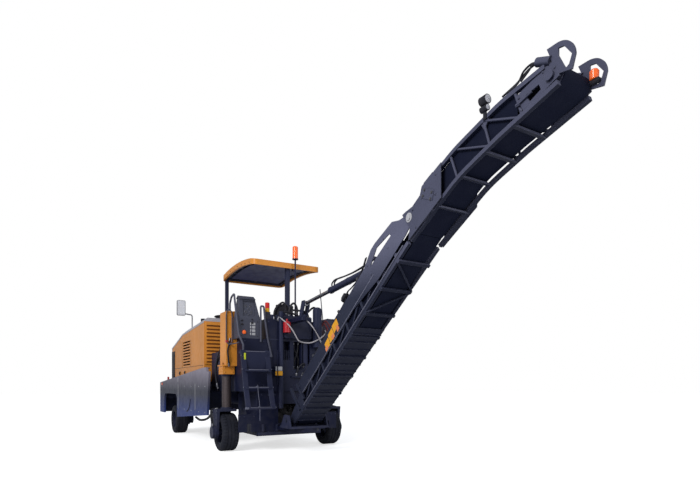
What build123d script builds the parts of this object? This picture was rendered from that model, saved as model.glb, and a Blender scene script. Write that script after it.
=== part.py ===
from build123d import *
from math import atan, cos, radians, sin, tan
import os

# Cold planer milling machine on four wheels, with a rear loading conveyor.
# Millimetres. X points forward, Y to the driver's left, Z up from the ground.
# Places along X are distances ahead of the rear axle, turned into X by ahead().

# Running clearances
flat_gap = 0.3
pin_gap = 0.5
plate_gap = 6
moving_gap = 10

# Wheels and stance
wheelbase = 3817
tyre_radius = 325
tyre_width = 280
tyre_shoulder = 45
rear_wheel_y = 985
front_wheel_y = 942
rim_radius = 200
rim_wall = 12
hub_bore_radius = 46
kingpin_y = 660
kingpin_radius = 34

# Chassis
rail_y = 400
rail_width = 140
rail_bottom = 760
rail_top = 1140
deck_thickness = 40
deck_half_width = 1110
nose_x = 5130
apron_thickness = 40
skirt_thickness = 40
skirt_sheet = 8
skirt_front_bottom = 450
skirt_front_top = 1200
skirt_rear_top = 1450
arch_front = 4590
arch_rear = 3130
arch_top = 930
arch_corner = 170
skirt_rear_x = 500
tow_eye_bore = 50
tow_eye_reach = 90
tow_eye_thickness = 40
tow_eye_radius = 50
tow_eye_y = 520
tow_eye_z = 700

# Engine hood
hood_rear_x = 1390
hood_front_x = 4410
hood_half_width = 1000
hood_bottom = 1200
hood_rear_top = 2450
hood_bend_x = 3240
hood_bend_top = 2345
hood_nose_top = 2090
hood_chamfer = 65
hood_sheet = 6
hinge_x = 4445
hinge_z = 1245
hinge_y = 700
hinge_lug = 20
hinge_knuckle = 40
hinge_pin_radius = 12
hinge_knuckle_radius = 22

# Drum housing and milling drum
drum_x = 20
drum_z = 590
drum_radius = 255
drum_tip_radius = 365
drum_half_length = 500
drum_shaft_radius = 80
housing_front = 520
housing_rear = -460
housing_half_width = 600
housing_plate = 40
housing_bottom = 270
housing_top = 1020
scraper_bottom = 265

# Lifting columns and wheel forks
column_y = 985
column_x = -25
column_length = 350
column_width = 185
column_bottom = 1310
column_shoulder = 1450
column_top = 2360
ram_radius = 78
fork_plate_bottom = 680
fork_plate_top = 720
fork_outer = 1185
fork_side = 48
fork_foot_radius = 110
drive_motor_radius = 105
drive_motor_length = 55

# Operator's platform, cabinet and console
floor_top = 1400
floor_thickness = 40
platform_rear = -100
platform_front = 1360
platform_half_width = 860
platform_wall = 40
wall_top = 1750
cabinet_rear = -500
cabinet_top = 2250
cabinet_left = 450
cabinet_right = -600
wing_top = 1900
tank_rear = -560
tank_left = 150
tank_right = -370
tank_bottom = 1930
tank_top = 2320

# Canopy
canopy_front = 1397
canopy_rear = -355
canopy_half_width = 645
canopy_edge_z = 3185
canopy_rise = 75
canopy_thickness = 95
canopy_rim = 40
canopy_recess = 60
canopy_corner = 110

# Conveyor, in its side view: along the lower section and square to it
slew_x = -1000
lift_angle = 36
foot_x = -1500
foot_z = 740
tail_along = -450
tail_across = 100
tail_radius = 80
tail_end_radius = 85
belt_thickness = 10
belt_half_width = 160
plate_inner = 225
plate_thickness = 10
plate_start = 60
plate_low = 240
plate_top = 455
chord_low = 10
chord_size = 45
chord_width = 40
bay_length = 430
bay_count = 7
lower_end = 3270
fold_along = 3464
fold_across = 200
fold_pin_radius = 30
head_x = -5950
head_z = 3555
head_radius = 85
guard_x = -6000
guard_z = 3612
guard_radius = 170
guard_thickness = 16

# Lift cylinder
barrel_along = 2700
barrel_across = 420
barrel_length = 1480
barrel_radius = 48
lift_rod_radius = 28
rod_pin_x = -1090
rod_pin_z = 2460
rod_total = 1560

# The longest reaches set the origin midway between front and rear.
front_reach = nose_x + tow_eye_reach
rear_reach = -guard_x + guard_radius
axle_x = (rear_reach - front_reach) / 2


def ahead(distance):
    return axle_x + distance


def slab(x, y, z, mode=Mode.ADD):
    """Box between two places on each axis, X given ahead of the rear axle."""
    middle = (ahead(sum(x) / 2), sum(y) / 2, sum(z) / 2)
    with Locations(middle):
        Box(x[1] - x[0], y[1] - y[0], z[1] - z[0], mode=mode)


def side_prism(points, y, mode=Mode.ADD):
    """Side outline (ahead, up) given a thickness between two places on Y."""
    with BuildSketch(Plane.XZ.offset(-y[1])) as outline:
        with BuildLine():
            Polyline(*[(ahead(x), z) for x, z in points], close=True)
        make_face()
    extrude(outline.sketch, amount=y[1] - y[0], mode=mode)


def bar(start, end, radius, mode=Mode.ADD):
    """Round bar between two points, X given ahead of the rear axle."""
    first = Vector(ahead(start[0]), start[1], start[2])
    last = Vector(ahead(end[0]), end[1], end[2])
    with BuildSketch(Plane(origin=first, z_dir=last - first)) as section:
        Circle(radius)
    extrude(section.sketch, amount=(last - first).length, mode=mode)


def flat(start, end, width, depth, mode=Mode.ADD):
    """Rectangular bar between two points, its width along Y."""
    first = Vector(ahead(start[0]), start[1], start[2])
    last = Vector(ahead(end[0]), end[1], end[2])
    plane = Plane(origin=first, x_dir=(0, 1, 0), z_dir=last - first)
    with BuildSketch(plane) as section:
        Rectangle(width, depth)
    extrude(section.sketch, amount=(last - first).length, mode=mode)


def bent_tube(points, bend, radius):
    """Round tube along straight runs joined by bends of one radius."""
    with BuildLine() as path:
        FilletPolyline(*[(ahead(x), y, z) for x, y, z in points], radius=bend)
    with BuildSketch(Plane(origin=path.line @ 0, z_dir=path.line % 0)) as section:
        Circle(radius)
    sweep(section.sketch, path=path.line)


def save(builder, name):
    builder.part.label = name
    export_step(builder.part, f"parts/{name}.step")


# Side view of the lower conveyor section: x runs up the conveyor, y square to it.
conveyor_side = Plane(
    origin=(ahead(foot_x), 0, foot_z),
    x_dir=(-cos(radians(lift_angle)), 0, sin(radians(lift_angle))),
    z_dir=(0, 1, 0),
)


def on_conveyor(along, across):
    """Place (ahead, up) of a point of the lower conveyor section."""
    point = conveyor_side.from_local_coords((along, across, 0))
    return (point.X - axle_x, point.Z)


def conveyor_prism(points, y, mode=Mode.ADD):
    """Outline in the lower conveyor's side view, between two places on Y."""
    with BuildSketch(conveyor_side.offset(y[0])) as outline:
        with BuildLine():
            Polyline(*points, close=True)
        make_face()
    extrude(outline.sketch, amount=y[1] - y[0], mode=mode)


def conveyor_slab(along, across, y):
    """Box lying along the lower conveyor section."""
    corners = ((along[0], across[0]), (along[1], across[0]), (along[1], across[1]), (along[0], across[1]))
    conveyor_prism(corners, y)


os.makedirs("parts", exist_ok=True)

# Tyres, one for each wheel
wheel_places = (
    ("rear_left", 0, rear_wheel_y),
    ("rear_right", 0, -rear_wheel_y),
    ("front_left", wheelbase, front_wheel_y),
    ("front_right", wheelbase, -front_wheel_y),
)
for wheel, wheel_x, wheel_y in wheel_places:
    wheel_plane = Plane(origin=(ahead(wheel_x), wheel_y, tyre_radius), z_dir=(0, 1, 0))
    with BuildPart() as tyre:
        with BuildSketch(wheel_plane):
            Circle(tyre_radius)
            Circle(rim_radius, mode=Mode.SUBTRACT)
        extrude(amount=tyre_width / 2, both=True)
        rims = tyre.edges().filter_by(GeomType.CIRCLE)
        shoulders = [edge for edge in rims if edge.radius > rim_radius + 1]
        fillet(shoulders, tyre_shoulder)
    save(tyre, f"{wheel}_tyre")

# Rims: a barrel, a dished web and a hub bored for the stub axle
rim_depth = 230
web_thickness = 24
web_holes = 6
web_hole_radius = 22
hub_radius = 90
hub_length = 120
for wheel, wheel_x, wheel_y in wheel_places:
    wheel_plane = Plane(origin=(ahead(wheel_x), wheel_y, tyre_radius), z_dir=(0, 1, 0))
    with BuildPart() as rim:
        with BuildSketch(wheel_plane):
            Circle(rim_radius)
            Circle(rim_radius - rim_wall, mode=Mode.SUBTRACT)
        extrude(amount=rim_depth / 2, both=True)
        with BuildSketch(wheel_plane):
            Circle(rim_radius - rim_wall / 2)
        extrude(amount=web_thickness / 2, both=True)
        with BuildSketch(wheel_plane):
            Circle(hub_radius)
        extrude(amount=hub_length / 2, both=True)
        with BuildSketch(wheel_plane):
            Circle(hub_bore_radius)
            with PolarLocations((hub_radius + rim_radius) / 2, web_holes):
                Circle(web_hole_radius)
        extrude(amount=hub_length, both=True, mode=Mode.SUBTRACT)
    save(rim, f"{wheel}_rim")

# Steering knuckles: two ears on the kingpin, a leg and the wheel motor
ear_thickness = 40
ear_half_length = 60
knuckle_half_length = 110
knuckle_drop = 125
knuckle_plate_inner = 735
knuckle_plate_outer = front_wheel_y - tyre_width / 2 - moving_gap * 2
pin_boss_bottom = 500
pin_boss_top = 680
steer_motor_radius = 105
steer_motor_length = 90
stub_collar = 20
stub_radius_front = hub_bore_radius - pin_gap
for side, sign in (("left", 1), ("right", -1)):
    with BuildPart() as knuckle:
        ends = sorted((sign * knuckle_plate_inner, sign * knuckle_plate_outer))
        pin_low = pin_boss_bottom - flat_gap - ear_thickness
        pin_high = pin_boss_top + flat_gap + ear_thickness
        slab(
            (wheelbase - knuckle_half_length, wheelbase + knuckle_half_length),
            ends,
            (tyre_radius - knuckle_drop, pin_high),
        )
        ear_ends = sorted((sign * (kingpin_y - ear_half_length), sign * knuckle_plate_outer))
        for low in (pin_low, pin_high - ear_thickness):
            slab(
                (wheelbase - ear_half_length, wheelbase + ear_half_length),
                ear_ends,
                (low, low + ear_thickness),
            )
        bar(
            (wheelbase, sign * kingpin_y, pin_low),
            (wheelbase, sign * kingpin_y, pin_high),
            kingpin_radius,
        )
        bar(
            (wheelbase, sign * (knuckle_plate_inner - steer_motor_length), tyre_radius),
            (wheelbase, sign * knuckle_plate_inner, tyre_radius),
            steer_motor_radius,
        )
        stub_end = front_wheel_y + hub_length / 2
        bar(
            (wheelbase, sign * knuckle_plate_inner, tyre_radius),
            (wheelbase, sign * (stub_end + stub_collar), tyre_radius),
            stub_radius_front,
        )
        bar(
            (wheelbase, sign * (stub_end + flat_gap), tyre_radius),
            (wheelbase, sign * (stub_end + stub_collar), tyre_radius),
            hub_bore_radius + stub_collar,
        )
    save(knuckle, f"{side}_knuckle")

# Front axle: beam, spring pad and a bored boss for each kingpin
axle_half_thickness = 65
pad_half_length = 115
kingpin_boss_radius = 58
beam_bottom = 520
beam_top = 660
with BuildPart() as front_axle:
    slab(
        (wheelbase - axle_half_thickness, wheelbase + axle_half_thickness),
        (-kingpin_y, kingpin_y),
        (beam_bottom, beam_top),
    )
    slab(
        (wheelbase - pad_half_length, wheelbase + pad_half_length),
        (-rail_y - rail_width / 2, rail_y + rail_width / 2),
        (beam_top, rail_bottom),
    )
    for sign in (1, -1):
        pin_foot = (wheelbase, sign * kingpin_y, pin_boss_bottom)
        pin_head = (wheelbase, sign * kingpin_y, pin_boss_top)
        bar(pin_foot, pin_head, kingpin_boss_radius)
        bar(pin_foot, pin_head, kingpin_radius + pin_gap, mode=Mode.SUBTRACT)
save(front_axle, "front_axle")

# Chassis: two deep rails, cross members, outriggers, deck, apron and towing eyes
outrigger_places = (900, 2900, 4700)
outrigger_thickness = 40
member_places_x = (1500, 2700, wheelbase, 4900)
member_half_length = 100
deck_rear = hood_rear_x - 10
lug_half_length = 25
with BuildPart() as chassis:
    for sign in (1, -1):
        rail_ends = sorted((sign * (rail_y - rail_width / 2), sign * (rail_y + rail_width / 2)))
        slab((housing_front, nose_x - apron_thickness), rail_ends, (rail_bottom, rail_top))
        outrigger = sorted((sign * rail_y, sign * deck_half_width))
        for outrigger_x in outrigger_places:
            slab(
                (outrigger_x - outrigger_thickness / 2, outrigger_x + outrigger_thickness / 2),
                outrigger,
                (rail_bottom + outrigger_thickness, housing_top - outrigger_thickness / 2),
            )
    for member_x in member_places_x:
        member_ends = (member_x - member_half_length, member_x + member_half_length)
        slab(member_ends, (-rail_y, rail_y), (rail_bottom, rail_top))
    slab(
        (deck_rear, nose_x),
        (-deck_half_width, deck_half_width),
        (rail_top, rail_top + deck_thickness),
    )
    slab(
        (nose_x - apron_thickness, nose_x),
        (-deck_half_width, deck_half_width),
        (skirt_front_bottom, rail_top + deck_thickness),
    )
    eye_x = nose_x + tow_eye_reach - tow_eye_radius
    for sign in (1, -1):
        eye_side = (sign * tow_eye_y - tow_eye_thickness / 2, sign * tow_eye_y + tow_eye_thickness / 2)
        slab((nose_x, eye_x), eye_side, (tow_eye_z - tow_eye_radius, tow_eye_z + tow_eye_radius))
        bar((eye_x, eye_side[0], tow_eye_z), (eye_x, eye_side[1], tow_eye_z), tow_eye_radius)
        bar(
            (eye_x, eye_side[0], tow_eye_z),
            (eye_x, eye_side[1], tow_eye_z),
            tow_eye_bore / 2,
            mode=Mode.SUBTRACT,
        )
    for sign in (1, -1):
        lug_y = sorted((sign * hinge_y, sign * (hinge_y + hinge_lug)))
        lug_low = rail_top + deck_thickness
        lug_x = (hinge_x - lug_half_length, hinge_x + lug_half_length)
        slab(lug_x, lug_y, (lug_low, hinge_z + lug_half_length))
        pin_end = hinge_y + hinge_lug + hinge_knuckle + moving_gap
        bar((hinge_x, sign * hinge_y, hinge_z), (hinge_x, sign * pin_end, hinge_z), hinge_pin_radius)
save(chassis, "chassis")

# Side skirts: folded sheet panels with the front wheel arch
skirt_outer = deck_half_width + skirt_thickness
skirt_ledge = hood_half_width + moving_gap
ledge_rear = 890
skirt_step = 80
skirt_outline = (
    (nose_x, skirt_front_bottom),
    (nose_x, skirt_front_top),
    (ledge_rear, skirt_rear_top),
    (680, skirt_rear_top),
    (640, skirt_rear_top - skirt_step),
    (skirt_rear_x, skirt_rear_top - skirt_step),
    (skirt_rear_x + 120, 580),
    (arch_rear, 420),
    (arch_rear, arch_top),
    (arch_front, arch_top),
    (arch_front, skirt_front_bottom),
)
for side, sign in (("left", 1), ("right", -1)):
    sheet = sorted((sign * deck_half_width, sign * skirt_outer))
    ledge = sorted((sign * skirt_ledge, sign * skirt_outer))
    with BuildPart() as skirt:
        side_prism(skirt_outline, sheet)
        arch_corners = skirt.edges().filter_by(Axis.Y).filter_by(
            lambda edge: abs(edge.center().Z - arch_top) < 1
        )
        fillet(arch_corners, arch_corner)
        side_prism(
            (
                (nose_x, skirt_front_top - skirt_sheet),
                (nose_x, skirt_front_top),
                (ledge_rear, skirt_rear_top),
                (ledge_rear, skirt_rear_top - skirt_sheet),
            ),
            ledge,
        )
    save(skirt, f"skirt_{side}")

# Engine and cooling pack under the hood, one closed block
engine_length = (1600, 4150)
engine_half_width = 780
engine_top = 1880
engine_chamfer = 60
with BuildPart() as engine_block:
    slab(engine_length, (-engine_half_width, engine_half_width), (rail_top + deck_thickness, engine_top))
    chamfer(engine_block.faces().sort_by(Axis.Z)[-1].edges(), engine_chamfer)
save(engine_block, "engine_block")

# Hood: yellow side and rear walls, louvred, under a grey cover that falls to the nose
cover_drop = hood_chamfer + 5
nose_wall = 40
side_louvres = 9
side_louvre_x = (2550, 3200)
rear_louvres = 10
rear_louvre_y = (130, 900)
louvre_low = 1560
louvre_pitch = 62
louvre_slot = 26
louvre_lip = 14
louvre_sheet = 5


def hood_body(inset, bottom):
    """Hood prism with its long top edges chamfered, set in by a sheet."""
    half_width = hood_half_width - inset
    points = (
        (hood_rear_x + inset, bottom),
        (hood_front_x - inset, bottom),
        (hood_front_x - inset, hood_nose_top - inset),
        (hood_bend_x, hood_bend_top - inset),
        (hood_rear_x + inset, hood_rear_top - inset),
    )
    with BuildPart() as body:
        side_prism(points, (-half_width, half_width))
        edges = [
            edge
            for edge in body.edges()
            if abs(edge.center().Y) > half_width - 1
            and edge.center().Z > hood_nose_top - inset
            and edge.bounding_box().size.X > hood_chamfer
        ]
        chamfer(edges, hood_chamfer)
    return body.part


with BuildPart() as hood_skin:
    add(hood_body(0, hood_bottom))
    add(hood_body(hood_sheet, hood_bottom - hood_sheet), mode=Mode.SUBTRACT)

wall_region = (
    (hood_rear_x - nose_wall, hood_bottom),
    (hood_front_x - nose_wall, hood_bottom),
    (hood_front_x - nose_wall, hood_nose_top - cover_drop),
    (hood_bend_x, hood_bend_top - cover_drop),
    (hood_rear_x - nose_wall, hood_rear_top - cover_drop),
)
whole_width = (-hood_half_width - nose_wall, hood_half_width + nose_wall)

with BuildPart() as hood_shell:
    add(hood_skin.part)
    side_prism(wall_region, whole_width, mode=Mode.INTERSECT)
    for row in range(side_louvres):
        low = louvre_low + row * louvre_pitch
        lip_low = low + louvre_slot
        for sign in (1, -1):
            wall = sorted((sign * (hood_half_width - 2 * hood_sheet), sign * (hood_half_width + 1)))
            slab(side_louvre_x, wall, (low, lip_low), mode=Mode.SUBTRACT)
            lip = sorted((sign * (hood_half_width - hood_sheet), sign * (hood_half_width + louvre_lip)))
            slab(side_louvre_x, lip, (lip_low, lip_low + louvre_sheet))
    for row in range(rear_louvres):
        low = louvre_low + row * louvre_pitch
        lip_low = low + louvre_slot
        for sign in (1, -1):
            panel = sorted((sign * rear_louvre_y[0], sign * rear_louvre_y[1]))
            wall = (hood_rear_x - hood_sheet, hood_rear_x + 2 * hood_sheet)
            slab(wall, panel, (low, lip_low), mode=Mode.SUBTRACT)
            lip = (hood_rear_x - louvre_lip, hood_rear_x + hood_sheet)
            slab(lip, panel, (lip_low, lip_low + louvre_sheet))
save(hood_shell, "hood_shell")

with BuildPart() as hood_cover:
    add(hood_skin.part)
    side_prism(wall_region, whole_width, mode=Mode.SUBTRACT)
    for sign in (1, -1):
        near = hinge_y + hinge_lug + flat_gap
        knuckle_y = sorted((sign * near, sign * (near + hinge_knuckle)))
        slab(
            (hood_front_x - hood_sheet, hinge_x),
            knuckle_y,
            (hinge_z - hinge_knuckle_radius, hinge_z + hinge_knuckle_radius),
        )
        bar((hinge_x, knuckle_y[0], hinge_z), (hinge_x, knuckle_y[1], hinge_z), hinge_knuckle_radius)
        bar(
            (hinge_x, knuckle_y[0] - 1, hinge_z),
            (hinge_x, knuckle_y[1] + 1, hinge_z),
            hinge_pin_radius + pin_gap,
            mode=Mode.SUBTRACT,
        )
save(hood_cover, "hood_cover")


def above_hood(place, side, height):
    """Point at a height square to the hood's sloping top, behind its bend."""
    slope = (hood_rear_top - hood_bend_top) / (hood_bend_x - hood_rear_x)
    tilt = atan(slope)
    top = hood_rear_top - slope * (place - hood_rear_x)
    return (place + height * sin(tilt), side, top + height * cos(tilt))


# Air cleaner dome and exhaust stub on the hood's rear left
dome_place = (1700, 560)
dome_radius = 120
dome_height = 90
dome_cap = 20
stub_place = (2250, 800)
stub_radius = 45
stub_height = 130
with BuildPart() as air_intake:
    bar(above_hood(*dome_place, 0), above_hood(*dome_place, dome_height), dome_radius)
    bar(
        above_hood(*dome_place, dome_height),
        above_hood(*dome_place, dome_height + dome_cap),
        dome_radius + 1.5 * dome_cap,
    )
    fillet(air_intake.edges().sort_by(Axis.Z)[-1], 0.9 * dome_cap)
    bar(above_hood(*stub_place, 0), above_hood(*stub_place, stub_height), stub_radius)
    bar(
        above_hood(*stub_place, 2 * flat_gap),
        above_hood(*stub_place, stub_height + 1),
        stub_radius - hood_sheet,
        mode=Mode.SUBTRACT,
    )
save(air_intake, "air_intake")

# Mirrors on bent arms, one each side of the hood, their glass set into the rear face
mirror_x = 2710
mirror_y = 1150
mirror_low = 2630
mirror_height = 330
mirror_width = 180
mirror_depth = 40
mirror_corner = 30
mirror_rim = 12
glass_recess = 8
mirror_base_x = 2950
mirror_base_y = 860
foot_radius = 40
foot_thickness = 12
arm_radius = 14
arm_bend = 45
with BuildPart() as mirrors:
    for sign in (1, -1):
        rear_face = Plane.YZ.offset(ahead(mirror_x - mirror_depth / 2))
        middle = (sign * mirror_y, mirror_low + mirror_height / 2)
        with BuildSketch(rear_face) as housing:
            with Locations(middle):
                RectangleRounded(mirror_width, mirror_height, mirror_corner)
        extrude(housing.sketch, amount=mirror_depth)
        with BuildSketch(rear_face) as glass:
            glass_width = mirror_width - 2 * mirror_rim
            glass_height = mirror_height - 2 * mirror_rim
            with Locations(middle):
                RectangleRounded(glass_width, glass_height, mirror_corner - mirror_rim)
        extrude(glass.sketch, amount=glass_recess, mode=Mode.SUBTRACT)
        arm_x = mirror_x + mirror_depth / 2 + arm_radius - 2
        arm_z = mirror_low + 2 * mirror_corner
        foot = above_hood(mirror_base_x, sign * mirror_base_y, 0)
        bar(foot, above_hood(mirror_base_x, sign * mirror_base_y, foot_thickness), foot_radius)
        bent_tube(
            (
                above_hood(mirror_base_x, sign * mirror_base_y, foot_thickness / 2),
                (mirror_base_x, sign * mirror_base_y, arm_z),
                (arm_x, sign * mirror_y, arm_z),
                (arm_x, sign * mirror_y, mirror_low + mirror_height - 2 * mirror_corner),
            ),
            arm_bend,
            arm_radius,
        )
save(mirrors, "mirrors")

# Drum housing: side plates with shaft bores, front wall, scraper with its window,
# and the shelf that carries the conveyor's slewing ring
window_half_width = 220
window_low = 470
window_high = 800
wing_reach = 920
wing_sheet = 20
wing_low = 340
wing_high = 640
notch_low_width = (700, 770)
notch_top = 480
shaft_boss_radius = 130
shaft_boss_length = 60
shelf_top = 430
shelf_thickness = 60
shelf_half_width = 250
slew_pin_radius = 40
slew_pin_height = 38
with BuildPart() as drum_housing:
    for sign in (1, -1):
        ends = sorted((sign * (housing_half_width - housing_plate), sign * housing_half_width))
        slab((housing_rear, housing_front), ends, (housing_bottom, housing_top))
    slab(
        (housing_rear, housing_front),
        (-housing_half_width, housing_half_width),
        (housing_top - housing_plate, housing_top),
    )
    for wall_x in (housing_rear, housing_front - housing_plate):
        slab(
            (wall_x, wall_x + housing_plate),
            (-housing_half_width, housing_half_width),
            (scraper_bottom, housing_top),
        )
    for sign in (1, -1):
        wing = sorted((sign * housing_half_width, sign * wing_reach))
        slab((housing_rear, housing_rear + wing_sheet), wing, (wing_low, wing_high))
        notch = sorted((sign * notch_low_width[0], sign * notch_low_width[1]))
        slab(
            (housing_rear - wing_sheet, housing_rear + 2 * wing_sheet),
            notch,
            (wing_low - wing_sheet, notch_top),
            mode=Mode.SUBTRACT,
        )
    slab(
        (housing_rear - wing_sheet, housing_rear + housing_plate + wing_sheet),
        (-window_half_width, window_half_width),
        (window_low, window_high),
        mode=Mode.SUBTRACT,
    )
    for sign in (1, -1):
        boss_end = sign * (housing_half_width + shaft_boss_length)
        bar((drum_x, sign * housing_half_width, drum_z), (drum_x, boss_end, drum_z), shaft_boss_radius)
        bar(
            (drum_x, sign * (housing_half_width - housing_plate - 1), drum_z),
            (drum_x, sign * (housing_half_width + shaft_boss_length - housing_plate / 2), drum_z),
            drum_shaft_radius + pin_gap,
            mode=Mode.SUBTRACT,
        )
    slab(
        (slew_x, housing_rear),
        (-shelf_half_width, shelf_half_width),
        (shelf_top - shelf_thickness, shelf_top),
    )
    bar((slew_x, 0, shelf_top - shelf_thickness), (slew_x, 0, shelf_top), shelf_half_width)
    bar((slew_x, 0, shelf_top), (slew_x, 0, shelf_top + slew_pin_height), slew_pin_radius)
save(drum_housing, "drum_housing")

# Milling drum: body, shaft and helical rows of tooth holders with cutting teeth
tooth_rows = 4
teeth_per_row = 11
holder_length = 70
holder_width = 44
tooth_radius = 14
tooth_side = (
    (drum_radius - 8, -holder_length / 2),
    (drum_radius + 48, -8),
    (drum_radius + 62, 18),
    (drum_radius + 30, holder_length / 2),
    (drum_radius - 8, holder_length / 2),
)


def holder_with_tooth(place, turn):
    """Holder and its slanted tooth, at a place along the drum and a turn round it."""
    side = Plane(origin=(ahead(drum_x), place, drum_z), z_dir=(0, 1, 0)).rotated((0, turn, 0))
    root = side.from_local_coords((drum_radius + 36, 0, 0))
    tip = side.from_local_coords((drum_tip_radius - 4, 62, 0))
    with BuildPart() as holder:
        with BuildSketch(side.offset(-holder_width / 2)):
            with BuildLine():
                Polyline(*tooth_side, close=True)
            make_face()
        extrude(amount=holder_width)
        with BuildSketch(Plane(origin=root, z_dir=tip - root)):
            Circle(tooth_radius)
        extrude(amount=(tip - root).length)
    return holder.part


holders = []
for row in range(tooth_rows):
    for tooth in range(teeth_per_row):
        share = (tooth + 0.5) / teeth_per_row
        place = (drum_half_length - holder_width / 2 - 5) * (2 * share - 1)
        turn = 360 * row / tooth_rows + 200 * abs(share - 0.5)
        holders.append(holder_with_tooth(place, turn))

drum_shaft_end = housing_half_width + 30
with BuildPart() as milling_drum:
    bar((drum_x, -drum_half_length, drum_z), (drum_x, drum_half_length, drum_z), drum_radius)
    bar((drum_x, -drum_shaft_end, drum_z), (drum_x, drum_shaft_end, drum_z), drum_shaft_radius)
    add(holders)
save(milling_drum, "milling_drum")

# Lifting columns, their rams and the wheel forks
column_foot_half = (120, 100)
ram_wall = 12
ram_insert = 200
with BuildPart() as column_housings:
    for sign in (1, -1):
        ends = sorted((sign * platform_half_width, sign * (platform_half_width + column_width)))
        slab(
            (column_x - column_length / 2, column_x + column_length / 2),
            ends,
            (column_shoulder, column_top),
        )
        foot = sorted((sign * (column_y - column_foot_half[1]), sign * (column_y + column_foot_half[1])))
        foot_x_ends = (column_x - column_foot_half[0], column_x + column_foot_half[0])
        slab(foot_x_ends, foot, (column_bottom, column_shoulder))
        bar(
            (column_x, sign * column_y, column_bottom),
            (column_x, sign * column_y, column_bottom + ram_insert),
            ram_radius - ram_wall,
            mode=Mode.SUBTRACT,
        )
save(column_housings, "column_housings")

with BuildPart() as column_rams:
    for sign in (1, -1):
        ram_foot = (column_x, sign * column_y, fork_plate_top)
        bar(ram_foot, (column_x, sign * column_y, column_bottom), ram_radius)
save(column_rams, "column_rams")

fork_inner = 850
fork_half_length = 150
axle_collar = 20
with BuildPart() as wheel_forks:
    for sign in (1, -1):
        plate = sorted((sign * fork_inner, sign * fork_outer))
        slab((-fork_half_length, fork_half_length), plate, (fork_plate_bottom, fork_plate_top))
        leg = sorted((sign * (fork_outer - fork_side), sign * fork_outer))
        side_prism(
            (
                (-fork_half_length, fork_plate_top),
                (fork_half_length, fork_plate_top),
                (fork_foot_radius, tyre_radius),
                (-fork_foot_radius, tyre_radius),
            ),
            leg,
        )
        bar((0, leg[0], tyre_radius), (0, leg[1], tyre_radius), fork_foot_radius)
        motor_end = sign * (fork_outer + drive_motor_length)
        bar((0, sign * fork_outer, tyre_radius), (0, motor_end, tyre_radius), drive_motor_radius)
        stub = rear_wheel_y - hub_length / 2
        stub_start = sign * (stub - axle_collar)
        bar((0, stub_start, tyre_radius), (0, sign * fork_outer, tyre_radius), hub_bore_radius - pin_gap)
        collar_end = sign * (stub - flat_gap)
        bar((0, stub_start, tyre_radius), (0, collar_end, tyre_radius), hub_bore_radius + axle_collar)
save(wheel_forks, "wheel_forks")

# Operator's platform: floor, side walls and pedestal over the rails
with BuildPart() as platform:
    slab(
        (platform_rear, platform_front),
        (-platform_half_width, platform_half_width),
        (floor_top - floor_thickness, floor_top),
    )
    for sign in (1, -1):
        wall = sorted((sign * (platform_half_width - platform_wall), sign * platform_half_width))
        slab((platform_rear, platform_front), wall, (housing_top, wall_top))
    slab(
        (platform_rear, housing_front),
        (-housing_half_width, housing_half_width),
        (housing_top, floor_top),
    )
save(platform, "platform")

# Rear cabinet: pockets in its face, tank, comb grille, shelf and slewing bracket
pocket_depth = 130
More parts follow.
